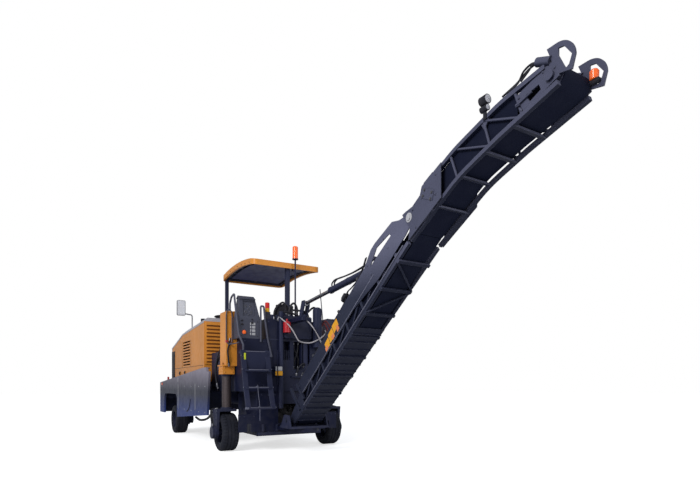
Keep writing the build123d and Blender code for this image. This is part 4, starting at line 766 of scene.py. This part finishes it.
# Rear of the machine
def rear_hoses():
    """Hoses round the cabinet and the tank, and the tank's caps and bolts."""
    hoses("pale_hoses", (
        (
            (-0.575, 0.235, 2.27), (-0.62, 0.2, 2.23), (-0.70, 0.12, 2.13), (-0.705, 0.03, 2.01),
            (-0.67, -0.06, 1.895), (-0.63, -0.17, 1.865), (-0.62, -0.31, 1.865), (-0.66, -0.42, 1.91),
            (-0.69, -0.52, 1.98), (-0.65, -0.6, 2.06), (-0.57, -0.62, 2.12),
        ),
        (
            (-0.57, -0.26, 2.26), (-0.6, -0.33, 2.19), (-0.67, -0.4, 2.05), (-0.69, -0.46, 1.93),
            (-0.66, -0.51, 1.84), (-0.6, -0.52, 1.78), (-0.5, -0.5, 1.74),
        ),
    ), 0.011, hose_pale)
    hoses("red_hoses", (
        (
            (-0.51, -0.585, 2.14), (-0.57, -0.6, 2.24), (-0.6, -0.64, 2.26), (-0.62, -0.7, 2.16),
            (-0.61, -0.68, 2.03), (-0.58, -0.62, 1.96), (-0.51, -0.58, 1.93),
        ),
        (
            (-0.51, -0.56, 2.1), (-0.58, -0.57, 2.2), (-0.6, -0.61, 2.21), (-0.63, -0.65, 2.1),
            (-0.6, -0.63, 2.0), (-0.51, -0.57, 1.98),
        ),
    ), 0.016, hose_red)
    hoses("top_hoses", (
        (
            (-0.46, 0.3, 2.245), (-0.48, 0.29, 2.4), (-0.49, 0.22, 2.5),
            (-0.48, 0.12, 2.54), (-0.45, 0.05, 2.33),
        ),
        (
            (-0.42, 0.25, 2.245), (-0.45, 0.24, 2.42), (-0.47, 0.16, 2.5),
            (-0.46, 0.06, 2.5), (-0.44, 0.0, 2.33),
        ),
        (
            (-0.5, 0.04, 2.31), (-0.5, 0.02, 2.47), (-0.5, -0.05, 2.55),
            (-0.48, -0.12, 2.48), (-0.45, -0.14, 2.31),
        ),
        (
            (-0.47, 0.08, 2.31), (-0.49, -0.02, 2.42), (-0.5, -0.15, 2.43),
            (-0.5, -0.3, 2.4), (-0.5, -0.36, 2.22),
        ),
        (
            (-0.5, 0.24, 2.245), (-0.53, 0.2, 2.36), (-0.54, 0.08, 2.38),
            (-0.52, -0.05, 2.36), (-0.5, -0.2, 2.31),
        ),
        (
            (-0.46, -0.25, 2.31), (-0.5, -0.33, 2.42), (-0.53, -0.43, 2.5),
            (-0.5, -0.52, 2.42), (-0.47, -0.55, 2.24),
        ),
    ), 0.018, hose_black)
    hoses("pocket_hoses", (
        ((-0.40, -0.17, 1.42), (-0.42, -0.17, 1.6), (-0.42, -0.1, 1.75), (-0.40, -0.09, 1.87)),
        ((-0.42, -0.08, 1.42), (-0.44, -0.09, 1.55), (-0.43, -0.15, 1.7), (-0.42, -0.17, 1.87)),
        (
            (-0.47, -0.24, 1.44), (-0.52, -0.25, 1.5), (-0.53, -0.19, 1.49),
            (-0.52, -0.12, 1.4), (-0.5, -0.1, 1.3),
        ),
        (
            (-0.5, -0.22, 1.3), (-0.53, -0.3, 1.38), (-0.53, -0.42, 1.33),
            (-0.51, -0.5, 1.2), (-0.49, -0.52, 1.06),
        ),
    ), 0.013, hose_black)
    mesh = bmesh.new()
    for y, r in ((0.06, 0.05), (-0.08, 0.06), (-0.28, 0.04)):
        profile = ((0, r), (0.03, r), (0.04, 0.8 * r), (0.07, 0.75 * r), (0.08, 0.6 * r))
        lathe(mesh, at(-0.3, y, 2.315), UP, profile)
    for y in (0.2, 0.3):
        span(mesh, (-0.48, y, 2.245), (-0.4, y + 0.07, 2.33), 0.008)
    bolts(mesh, grid((-0.56,), (-0.35, 0.13), (1.96, 2.29)), REAR, 0.01)
    piece("tank_fittings", mesh, dark)


def console_details():
    """Lamp, buttons, blank strips and dials on the console's rear face."""
    sunk = 0.001
    mesh = bmesh.new()
    for y, z, r in ((0.7, 2.16, 0.02), (0.87, 2.13, 0.018), (0.7, 2.215, 0.012), (0.87, 2.19, 0.014)):
        lathe(mesh, at(cabinet_rear + sunk, y, z), REAR, ((0, r), (0.012, r), (0.016, 0.7 * r)))
    bolts(mesh, grid((cabinet_rear,), (0.605, 0.885), (1.94, 2.18)), REAR, 0.006)
    piece("console_buttons", mesh, black)
    turned("console_lamp", amber, "machine", [
        (at(cabinet_rear + sunk, 0.84, 2.0), REAR, ((0, 0.032), (0.012, 0.032), (0.024, 0.02))),
    ])
    pitch = 0.056
    blocks("console_strips", pale_paint, "machine", [
        ((cabinet_rear - 0.003, near, 1.955 + pitch * row), (cabinet_rear + 0.002, far, 1.997 + pitch * row))
        for row in range(4) for near, far in ((0.645, 0.70), (0.715, 0.735))
    ], 0.003)
    lean = atan2(0.04, 0.25)
    run = Vector((sin(lean), 0, cos(lean)))
    out = Vector((-cos(lean), 0, sin(lean)))
    recess = at(-0.478, 0, 2.27)
    bezels = bmesh.new()
    dials = bmesh.new()
    for rise, y, r in (
        (0.07, 0.80, 0.034), (0.07, 0.71, 0.034), (0.17, 0.80, 0.03), (0.17, 0.72, 0.03), (0.21, 0.67, 0.02),
        (0.12, 0.755, 0.018), (0.03, 0.755, 0.014),
    ):
        place = recess + rise * run + y * LEFT - sunk * out
        lathe(bezels, place, out, ((0, r), (0.008, r), (0.011, 0.85 * r)))
        lathe(dials, place + 0.011 * out, out, ((-0.004, 0.8 * r), (0.001, 0.8 * r)))
    piece("dial_bezels", bezels, rail_paint)
    piece("dials", dials, dial_paint)


def applied(made):
    """Replaces an object's mesh by what its modifiers make of it."""
    graph = bpy.context.evaluated_depsgraph_get()
    graph.update()
    data = bpy.data.meshes.new_from_object(made.evaluated_get(graph))
    made.modifiers.clear()
    made.data = data
    return data


def seat_pad(name, middle, size, lean, channels):
    """Padded piece: a rounded block blown up as cloth, then sewn in along its channels."""
    mesh = bmesh.new()
    box(mesh, Vector(), size, round_by=0.042)
    made = shaped(name, mesh)
    remesh = made.modifiers.new("remesh", "REMESH")
    remesh.mode = "VOXEL"
    remesh.voxel_size = 0.006
    data = applied(made)
    start = [corner.co.copy() for corner in data.vertices]
    cloth = made.modifiers.new("cloth", "CLOTH")
    cloth.settings.use_pressure = True
    cloth.settings.uniform_pressure_force = 4
    cloth.settings.effector_weights.gravity = 0
    cloth.settings.quality = 4
    scene = bpy.context.scene
    for moment in range(1, 21):
        scene.frame_set(moment)
    data = applied(made)
    scene.frame_set(1)
    furthest = 0.018
    for corner, first in zip(data.vertices, start):
        moved = corner.co - first
        if moved.length > furthest:
            corner.co = first + furthest * moved.normalized()
    channel_reach = 0.02
    channel_depth = 0.011
    seam_reach = 0.012
    seam_depth = 0.004
    for corner in data.vertices:
        place = corner.co
        if place.z > 0.15 * size[2]:
            for axis, line in channels:
                gap = abs(place[axis] - line)
                if gap < channel_reach:
                    place.z -= channel_depth * (1 - gap / channel_reach) ** 2
        if abs(place.z) < seam_reach:
            flat = Vector((place.x, place.y, 0))
            if flat.length > 0.1:
                corner.co = place - seam_depth * (1 - abs(place.z) / seam_reach) * flat.normalized()
    data.transform(Matrix.Translation(middle) @ Matrix.Rotation(lean, 4, "Y"))
    smoothed(data)
    smooth = made.modifiers.new("smooth", "SUBSURF")
    smooth.levels = 1
    smooth.render_levels = 1
    data.materials.append(vinyl)
    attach(made, "machine")
    return made


def driver_seat():
    """Padded cushion and back on a frame, with a folded skirt under them."""
    y = seat_y
    channels = ((1, -0.12), (1, 0.12), (0, 0.14))
    cushion = seat_pad("seat_cushion", at(0.335, y, 1.935), (0.43, 0.40, 0.085), 0, channels)
    channels = ((1, -0.11), (1, 0.11), (0, -0.12), (0, 0.1))
    seat_pad("seat_back", at(0.128, y, 2.33), (0.58, 0.36, 0.06), pi / 2, channels)
    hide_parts("seat")
    mesh = bmesh.new()
    span(mesh, (0.075, y - 0.15, 1.99), (0.098, y + 0.15, 2.58), 0.01)
    span(mesh, (0.09, y - 0.2, 1.862), (0.55, y + 0.2, 1.895), 0.012)
    for side in (1, -1):
        span(mesh, (0.075, y + side * 0.13 - 0.02, 1.87), (0.12, y + side * 0.13 + 0.02, 2.1), 0.006)
        span(mesh, (0.15, y + side * 0.16 - 0.012, 1.84), (0.5, y + side * 0.16 + 0.012, 1.87))
        rod(mesh, at(0.14, y + side * 0.15, 1.93), at(0.14, y + side * 0.222, 1.93), 0.022)
    for fold in range(7):
        low = 1.46 + 0.054 * fold
        span(mesh, (0.2, y - 0.13, low), (0.46, y + 0.13, low + 0.03), 0.012)
        span(mesh, (0.215, y - 0.115, low + 0.025), (0.445, y + 0.115, low + 0.06))
    span(mesh, (0.19, y - 0.145, floor_top), (0.47, y + 0.145, 1.465), 0.008)
    piece("seat_base", mesh, black)


def rear_details():
    """Ladder's reflector and hanging bar, cabinet's plate, seams and bolts."""
    blocks("ladder_reflector", lime, "machine", [((-0.762, 0.895, 1.535), (-0.747, 0.925, 1.64))], 0.003)
    mesh = bmesh.new()
    for low, high in (
        ((-0.895, 0.735, 1.085), (-0.85, 0.765, 1.11)), ((-1.0, 0.735, 0.76), (-0.95, 0.765, 0.785)),
    ):
        span(mesh, low, high)
    tube(mesh, on_side(((-0.9, 1.13), (-0.93, 0.98), (-0.99, 0.8), (-1.0, 0.56)), 0.75), 0.005)
    rod(mesh, at(-1.0, 0.93, 0.763), at(-1.0, 0.985, 0.763), 0.018)
    span(mesh, (-1.003, 0.55, 0.772), (-0.99, 0.9, 0.779), 0.002)
    piece("ladder_bar", mesh, edge_paint)
    mesh = bmesh.new()
    steps = ((-0.74, 1.675), (-0.88, 1.375), (-0.89, 1.095), (-1.0, 0.775))
    for x, z in steps:
        for row in range(7):
            y = 0.575 + 0.05 * row
            span(mesh, (x + 0.004, y, z - 0.002), (x + 0.046, y + 0.018, z + 0.003), 0.002)
    on_rails = ((-0.748, 1.6), (-0.80, 1.38), (-0.87, 1.09), (-0.99, 0.77))
    bolts(mesh, on_side(on_rails, 0.48), RIGHT, 0.009)
    bolts(mesh, on_side(on_rails, 0.97), LEFT, 0.009)
    for x, z in steps[:3]:
        span(mesh, (x - 0.003, 0.56, z - 0.012), (x + 0.004, 0.89, z + 0.002), 0.002)
    piece("ladder_treads", mesh, edge_paint)
    blocks("plate_upper", pale_paint, "machine", [((-0.5925, 0.2, 1.37), (-0.589, 0.32, 1.44))], 0.002)
    blocks("plate_lower", amber_paint, "machine", [((-0.5925, 0.195, 1.288), (-0.589, 0.325, 1.362))], 0.002)
    mesh = bmesh.new()
    bolts(mesh, grid((cabinet_rear,), (-0.56, -0.02, 0.41), (1.12, 1.33, 1.91, 2.2)), REAR, 0.009)
    bolts(mesh, grid((cabinet_rear,), (0.5, 0.82), (1.12, 1.86)), REAR, 0.009)
    for z in (1.39, 1.9):
        for near, far in ((-0.59, -0.38), (0.2, 0.44)):
            span(mesh, (cabinet_rear - 0.006, near, z - 0.012), (cabinet_rear + 0.005, far, z + 0.012), 0.003)
    piece("cabinet_bolts", mesh, dark)


def column_details():
    """Bolts and caps of the lifting columns, the guard loop and a tail lamp."""
    mesh = bmesh.new()
    for side in (1, -1):
        for z in (1.36, 1.40):
            bolts(mesh, grid((-0.11, 0.06), (side * 1.085,), (z,)), side * LEFT, 0.01)
        for z in (1.34, 1.42):
            bolts(mesh, grid((-0.145,), (side * 0.92, side * 1.05), (z,)), REAR, 0.01)
        span(mesh, (-0.175, side * column_y - 0.115, 1.445), (0.125, side * column_y + 0.115, 1.47), 0.006)
        span(mesh, (-0.21, side * 0.955 - 0.09, 2.352), (0.16, side * 0.955 + 0.09, 2.372), 0.006)
        bolts(mesh, grid((-0.17, 0.12), (side * 0.9, side * 1.01), (2.372,)), UP, 0.009)
    piece("column_trim", mesh, column_yellow_and_shade)
    mesh = bmesh.new()
    tube(mesh, spots((
        (-0.215, 1.0, 2.40), (-0.218, 1.035, 2.37), (-0.218, 1.05, 2.3), (-0.218, 1.05, 2.15),
        (-0.218, 1.05, 1.9), (-0.218, 1.035, 1.84), (-0.218, 1.0, 1.815), (-0.218, 0.965, 1.84),
        (-0.218, 0.95, 1.9), (-0.218, 0.95, 2.15), (-0.218, 0.95, 2.3), (-0.215, 0.965, 2.37),
        (-0.213, 1.0, 2.402),
    )), 0.009)
    tube(mesh, spots((
        (-0.218, 1.0, 1.815), (-0.3, 0.97, 1.815), (-0.42, 0.945, 1.82), (-0.5, 0.925, 1.83),
    )), 0.009)
    for z in (1.84, 2.38):
        rod(mesh, at(-0.2, 1.03, z), at(-0.218, 1.03, z), 0.008)
    piece("guard_loop", mesh, rail_paint)
    turned("tail_lamp", red_lens, "machine", [
        (at(-0.2, 1.04, 1.86), REAR, ((0, 0.024), (0.02, 0.024), (0.026, 0.018))),
    ])


def fork_details():
    """Hoses, bolts and hub covers of the columns and the wheel forks."""
    hoses("column_hoses", (
        (
            (-0.2, 1.0, 1.46), (-0.24, 1.02, 1.58), (-0.235, 1.03, 1.7),
            (-0.21, 1.0, 1.8), (-0.19, 0.98, 1.9),
        ),
        ((0.17, 1.0, 1.8), (0.24, 1.03, 1.72), (0.3, 1.06, 1.55), (0.33, 1.07, 1.35), (0.34, 1.04, 1.12)),
        ((0.17, 0.96, 1.74), (0.26, 1.0, 1.66), (0.34, 1.05, 1.48), (0.37, 1.06, 1.28), (0.36, 1.02, 1.08)),
    ), 0.014, hose_black)
    routes = (
        ((0.13, 1.12, 0.72), (0.15, 1.2, 0.7), (0.12, 1.215, 0.6), (0.09, 1.212, 0.5), (0.06, 1.215, 0.43)),
        (
            (0.08, 1.12, 0.72), (0.1, 1.205, 0.71), (0.07, 1.215, 0.62),
            (0.03, 1.212, 0.52), (0.02, 1.215, 0.44),
        ),
    )
    hoses("fork_hoses", [
        [(x, side * y, z) for x, y, z in route] for side in (1, -1) for route in routes
    ], 0.011, hose_black)
    mesh = bmesh.new()
    for side in (1, -1):
        out = side * LEFT
        bolts(mesh, on_side(((-0.11, 0.66), (0.11, 0.66), (-0.09, 0.55)), side * fork_side), out, 0.011)
        hub = at(0, side * fork_side, hub_z)
        lathe(mesh, hub, out, ((0, 0.112), (0.012, 0.112), (0.016, 0.108)), 32)
        lathe(mesh, hub, out, ((0.03, 0.1065), (0.04, 0.1065)), 32)
        bolts(mesh, circle(at(0, side * 1.2315, hub_z), 0.085, 8, 0.5), out, 0.0075)
        bolts(mesh, grid((-0.12, 0.12), (side * 0.88, side * 1.09), (0.72,)), UP, 0.011)
        lathe(mesh, at(-0.025, side * column_y, 0.718), UP, ((0, 0.1), (0.02, 0.1), (0.03, 0.085)), 32)
        lathe(mesh, at(-0.025, side * column_y, 1.275), UP, ((0, 0.088), (0.02, 0.09), (0.036, 0.09)), 32)
    piece("fork_fasteners", mesh, dark)


# Skirts and hood
def skirt_details():
    """Seams, bolts, straps, side markers and lamps of the two skirts."""
    strips = bmesh.new()
    straps = bmesh.new()
    strap = ((1.86, 0.84), (1.9, 0.76), (1.98, 0.66), (2.1, 0.6), (2.2, 0.585))
    for side in (1, -1):
        y = side * skirt_side
        for x in (1.48, 3.0):
            span(strips, (x - 0.008, y - 0.002, 0.64), (x + 0.008, y + 0.004 * side, 1.15), 0.002)
        span(strips, (3.0, y - 0.002, 1.20), (3.03, y + 0.006 * side, 1.3), 0.003)
        bolts(strips, grid((0.75, 1.2, 1.8, 2.4, 4.75, 5.05), (y,), (1.1,)), side * LEFT, 0.008)
        bolts(strips, grid((0.75, 1.2, 1.8, 2.4, 2.95, 4.75, 5.05), (y,), (0.62,)), side * LEFT, 0.008)
        tube(straps, on_side(strap, side * 1.148), 0.013)
    piece("skirt_strips", strips, pale_paint)
    tube(straps, spots(((0.72, 0.98, 0.7), (1.1, 1.0, 0.5), (1.5, 1.04, 0.44), (1.95, 1.02, 0.47))), 0.022)
    piece("skirt_straps", straps, hose_black)
    blocks("side_markers", amber, "machine", [
        ((4.83, side * skirt_side - 0.002, 1.13), (4.9, side * (skirt_side + 0.01), 1.19)) for side in (1, -1)
    ])
    blocks("ledge_lamps", red_lens, "machine", [
        ((4.33, side * 1.1 - 0.02, 1.235), (4.37, side * 1.1 + 0.02, 1.33)) for side in (1, -1)
    ], 0.006)


def hood_panels():
    """Folded edges of the cover, the louvred rear panel with painted shadow in its slots, and the dark front
    corners.
    """
    mesh = bmesh.new()
    for side in (1, -1):
        sheet(mesh, side * 0.999, side * 1.005, [
            (x, z - 0.035, z + 0.002) for x, z in ((1.40, 2.388), (3.24, 2.283), (4.40, 2.03))
        ])
    piece("cover_edges", mesh, silver, "hood")
    mesh = bmesh.new()
    slots = bmesh.new()
    for side in (1, -1):
        near, far = sorted((side * 0.12, side * 0.985))
        span(mesh, (1.373, near, 1.53), (1.391, far, 2.36))
        for row in range(11):
            low = 1.565 + 0.071 * row
            # Painted shadow: a dark strip in each louvre gap.
            span(slots, (1.3715, near + 0.03, low), (1.375, far - 0.03, low + 0.034), 0.002)
            lip = ((1.374, low + 0.058), (1.352, low + 0.034), (1.352, low + 0.029), (1.374, low + 0.029))
            plate(mesh, on_side(lip, near + 0.035), (far - near - 0.07) * LEFT)
    piece("rear_louvres", mesh, yellow, "hood")
    piece("rear_louvre_slot_shadows", slots, louvre_slot_shadow, "hood")
    corners = []
    for side in (1, -1):
        corners.append(((4.06, side * 0.999, 1.21), (4.408, side * 1.006, 1.94)))
        for row in range(12):
            low = 1.28 + 0.05 * row
            corners.append(((4.09, side * hood_side, low), (4.38, side * 1.013, low + 0.012)))
    blocks("front_corner_grilles", black, "hood", corners, 0.003)


def hood_details():
    """Latches and seams, mirror feet and glasses, cover bolts and the front grille."""
    mesh = bmesh.new()
    for side in (1, -1):
        y = side * hood_side
        for x in (3.01, 3.51):
            span(mesh, (x - 0.03, y - 0.004, 1.36), (x + 0.03, y + 0.016 * side, 1.44), 0.006)
            rod(mesh, at(x, y, 1.40), at(x, y + 0.028 * side, 1.40), 0.012)
        span(mesh, (1.46, y - 0.002, 1.515), (4.2, y + 0.004 * side, 1.522), 0.002)
        for x in (2.47, 3.3):
            span(mesh, (x - 0.003, y - 0.002, 1.52), (x + 0.003, y + 0.003 * side, 2.1), 0.001)
    for side in (1, -1):
        lathe(mesh, at(2.745, side * mirror_y, 2.68), UP, ((0, 0.03), (0.03, 0.034), (0.06, 0.03)), 16)
        box(mesh, at(2.76, side * 1.11, 2.69), (0.05, 0.09, 0.05), round_by=0.012)
    piece("hood_latches", mesh, black, "hood")
    mesh = bmesh.new()
    half_width = 0.077
    half_height = 0.152
    corner = 0.018
    for side in (1, -1):
        middle = at(2.685, side * mirror_y, 2.795)
        outline = []
        for turn, (across, up) in enumerate(((1, 1), (-1, 1), (-1, -1), (1, -1))):
            for step in range(6):
                angle = pi / 2 * (turn + step / 5)
                y = across * (half_width - corner) + corner * cos(angle)
                z = up * (half_height - corner) + corner * sin(angle)
                outline.append(middle + Vector((0, y, z)))
        plate(mesh, outline, 0.008 * AHEAD)
    piece("mirror_glass", mesh, glass, "hood")
    mesh = bmesh.new()
    for x in (1.5, 2.9):
        bolts(mesh, grid((x,), (-0.75, 0.75), (2.45 - 0.0568 * (x - 1.39),)), UP, 0.01)
    span(mesh, (4.405, -0.7, 1.5), (4.414, 0.7, 1.95))
    for row in range(9):
        low = 1.52 + 0.046 * row
        span(mesh, (4.41, -0.68, low), (4.43, 0.68, low + 0.014), 0.003)
    piece("hood_grille", mesh, dark, "hood")
    headlight_y = (-0.84, 0.84)
    turned("headlight_rims", black, "machine", [
        (at(5.129, y, 0.98), AHEAD, ((0, 0.075), (0.03, 0.078), (0.036, 0.07))) for y in headlight_y
    ], 28)
    turned("headlights", clear_lens, "machine", [
        (at(5.16, y, 0.98), AHEAD, ((0, 0.066), (0.008, 0.062), (0.014, 0.04), (0.016, 0.01)))
        for y in headlight_y
    ], 28)


# Canopy and platform
def canopy_bottom(x):
    """Height of the canopy's arched lower edge."""
    length = canopy_front - canopy_rear
    return canopy_edge + 0.075 * (1 - (2 * (x - canopy_rear) / length - 1) ** 2)


def canopy_details():
    """Low ribs over the arched roof, a dark sheet of painted shade under it, edge rivets and lamp fittings.
    """
    steps = 24
    mesh = bmesh.new()
    for y in (-0.5, -0.25, 0.0, 0.25, 0.5):
        rings = []
        for step in range(steps + 1):
            share = step / steps
            x = canopy_rear + 0.02 + (canopy_front - canopy_rear - 0.04) * share
            top = canopy_bottom(x) + 0.092
            high = top + 0.013 * min(1, 8 * share, 8 * (1 - share)) + 0.0015
            corners = ((y - 0.06, top), (y - 0.04, high), (y + 0.04, high), (y + 0.06, top))
            rings.append([at(x, across, z) for across, z in corners])
        join_rings(mesh, rings)
    piece("roof_ribs", mesh, yellow)
    # Painted shade: a dark sheet just above the roof's lower edge.
    mesh = bmesh.new()
    line = [-0.2 + 1.42 * step / steps for step in range(steps + 1)]
    sheet(mesh, -0.48, 0.5, [(x, canopy_bottom(x) + 0.02, canopy_bottom(x) + 0.025) for x in line])
    piece("roof_shade_sheet", mesh, canopy_underside_shade)
    mesh = bmesh.new()
    for side in (1, -1):
        rivets = [(x, canopy_bottom(x) + 0.03) for x in (-0.2 + 0.21 * step for step in range(8))]
        bolts(mesh, on_side(rivets, side * 0.645), side * LEFT, 0.007)
    bolts(mesh, grid((1.275, 1.375), (0.52, 0.62), (1.412,)), UP, 0.009)
    span(mesh, (1.255, 0.5, floor_top), (1.395, 0.64, 1.412), 0.003)
    span(mesh, (-0.345, -0.1, 2.318), (-0.205, 0.04, 2.332), 0.003)
    lathe(mesh, at(-0.415, -0.12, 3.33), UP, ((0, 0.02), (0.006, 0.052), (0.022, 0.053)), 24)
    piece("canopy_bolts", mesh, dark)


def platform_details():
    """Raised treads on the floor, and a steering column with its wheel."""
    mesh = bmesh.new()
    pitch = 0.06
    for row in range(23):
        for column in range(27):
            x = -0.05 + pitch * row
            y = -0.79 + pitch * column
            if 0.18 < x < 0.48 and -0.31 < y < 0.01:
                continue
            turn = Matrix.Rotation(pi / 4 if (row + column) % 2 else -pi / 4, 4, "Z")
            rings = []
            for height, long, wide in ((1.3995, 0.018, 0.005), (1.4025, 0.012, 0.003)):
                corners = ((-long, 0, 0), (0, -wide, 0), (long, 0, 0), (0, wide, 0))
                rings.append([at(x, y, height) + turn @ Vector(corner) for corner in corners])
            join_rings(mesh, rings)
    piece("floor_treads", mesh, dark)
    mesh = bmesh.new()
    y = seat_y
    span(mesh, (0.98, y - 0.12, floor_top), (1.2, y + 0.12, 1.95), 0.03)
    tube(mesh, spots(((0.99, y, 1.9), (0.93, y, 2.0), (0.86, y, 2.09))), 0.028)
    middle = at(0.84, y, 2.115)
    lean = Matrix.Rotation(radians(-40), 4, "Y")
    up = lean @ UP
    wheel_reach = 0.18
    grip = 0.014
    steps = 36
    turns = [2 * pi * corner / 10 for corner in range(10)]
    rings = []
    for step in range(steps):
        angle = 2 * pi * step / steps
        out = lean @ Vector((cos(angle), sin(angle), 0))
        rings.append([middle + wheel_reach * out + grip * (cos(a) * out + sin(a) * up) for a in turns])
    join_rings(mesh, [*rings, rings[0]], caps=False)
    for step in range(3):
        angle = 2 * pi * step / 3 + pi
        out = lean @ Vector((cos(angle), sin(angle), 0))
        tube(mesh, [middle, middle + 0.09 * out, middle + 0.178 * out], 0.011)
    lathe(mesh, middle - 0.025 * up, up, ((0, 0.03), (0.04, 0.045), (0.05, 0.04)))
    bmesh.ops.remove_doubles(mesh, verts=mesh.verts, dist=weld)
    piece("steering_column", mesh, black)


def underside_details():
    """Bolt rows on the drum housing, its wings and the chassis apron, and the scraper's edge."""
    housing_rear = -0.46
    mesh = bmesh.new()
    bolts(mesh, grid((housing_rear,), (-0.52, -0.4, -0.28, 0.28, 0.4, 0.52), (0.32, 0.96)), REAR, 0.012)
    for side in (1, -1):
        out = side * LEFT
        bolts(mesh, grid((-0.38, -0.2, 0.24, 0.44), (side * 0.6,), (0.33, 0.95)), out, 0.012)
        bolts(mesh, grid((housing_rear,), (side * 0.65, side * 0.82, side * 0.9), (0.6,)), REAR, 0.01)
        bolts(mesh, circle(at(drum_x, side * 0.66, drum_z), 0.11, 8), out, 0.011)
    bolts(mesh, grid((5.13,), (-1.0, -0.6, -0.2, 0.2, 0.6, 1.0), (0.52, 1.1)), AHEAD, 0.011)
    piece("housing_bolts", mesh, dark)
    mesh = bmesh.new()
    span(mesh, (-0.475, -0.59, 0.268), (-0.458, 0.59, 0.33))
    for y in (-0.5, -0.25, 0.25, 0.5):
        span(mesh, (-0.49, y - 0.02, 0.34), (-0.458, y + 0.02, 0.46), 0.006)
    piece("scraper_edge", mesh, dark)


for wheel in ("rear_left", "rear_right", "front_left", "front_right"):
    tyre(wheel)
    wheel_details(wheel, 1 if wheel.endswith("left") else -1)
fork_scrapers()
drum_tips()
lower_conveyor()
conveyor_hoses()
upper_conveyor()
lift_cylinder()
rear_hoses()
console_details()
driver_seat()
rear_details()
column_details()
fork_details()
skirt_details()
hood_panels()
hood_details()
canopy_details()
platform_details()
underside_details()


# Camera, lamps and floor
def add_camera():
    """Camera at the photograph's viewing angle, level, its frame shifted up."""
    width_px = 700
    height_px = 487
    focal_px = 499.5
    centre_px = (358.7, 385.2)
    data = bpy.data.cameras.new("camera")
    data.sensor_width = 36
    data.lens = focal_px / width_px * data.sensor_width
    data.shift_x = (width_px / 2 - centre_px[0]) / width_px
    data.shift_y = (centre_px[1] - height_px / 2) / width_px
    camera = added("camera", data)
    camera.location = at(-8.50, 3.553, 1.124)
    view = (0.851, -0.525)
    camera.rotation_euler = (pi / 2, 0, atan2(-view[0], view[1]))
    bpy.context.scene.camera = camera


def add_lamp(name, place, target, size, power):
    """Round area lamp aimed at a target."""
    data = bpy.data.lights.new(name, "AREA")
    data.shape = "DISK"
    data.size = size
    data.energy = power
    lamp = added(name, data)
    lamp.location = place
    lamp.rotation_euler = (Vector(target) - Vector(place)).to_track_quat("-Z", "Y").to_euler()


def seen_plain(tree):
    """One where a ray from the camera or through glass arrives."""
    path = node(tree, "LightPath").outputs
    return math_node(tree, "ADD", path["Is Camera Ray"], path["Is Transmission Ray"])


def add_stage():
    """Pale floor that keeps the machine's shadow, and a white studio all round."""
    size = 60
    floor_glow = 0.64
    studio_light = 0.55
    mesh = bpy.data.meshes.new("floor")
    corners = [(-size, -size, 0), (size, -size, 0), (size, size, 0), (-size, size, 0)]
    mesh.from_pydata(corners, [], [(0, 1, 2, 3)])
    floor = added("floor", mesh)
    material, tree, shader, _ = shader_base("floor")
    fill(
        tree, shader, Base_Color=(0.8, 0.8, 0.8), Roughness=1.0, Specular_IOR_Level=0.0,
        Emission_Color=(1, 1, 1), Emission_Strength=spread(tree, seen_plain(tree), 0, 1, 0, floor_glow),
    )
    mesh.materials.append(material)
    world = bpy.data.worlds.new("studio")
    bpy.context.scene.world = world
    world.use_nodes = True
    tree = world.node_tree
    seen = seen_plain(tree)
    fill(
        tree, tree.nodes["Background"], Color=mix_colour(tree, seen, (0.9, 0.94, 1), (1, 1, 1)),
        Strength=spread(tree, seen, 0, 1, studio_light, 1),
    )
    bpy.context.scene.view_settings.view_transform = "Standard"


add_camera()
add_stage()
add_lamp("key", (-7, 11, 8), (0, 0, 1.5), 6, 1500)
add_lamp("fill", (-12, -5, 4), (-1, 0, 1.5), 6, 300)
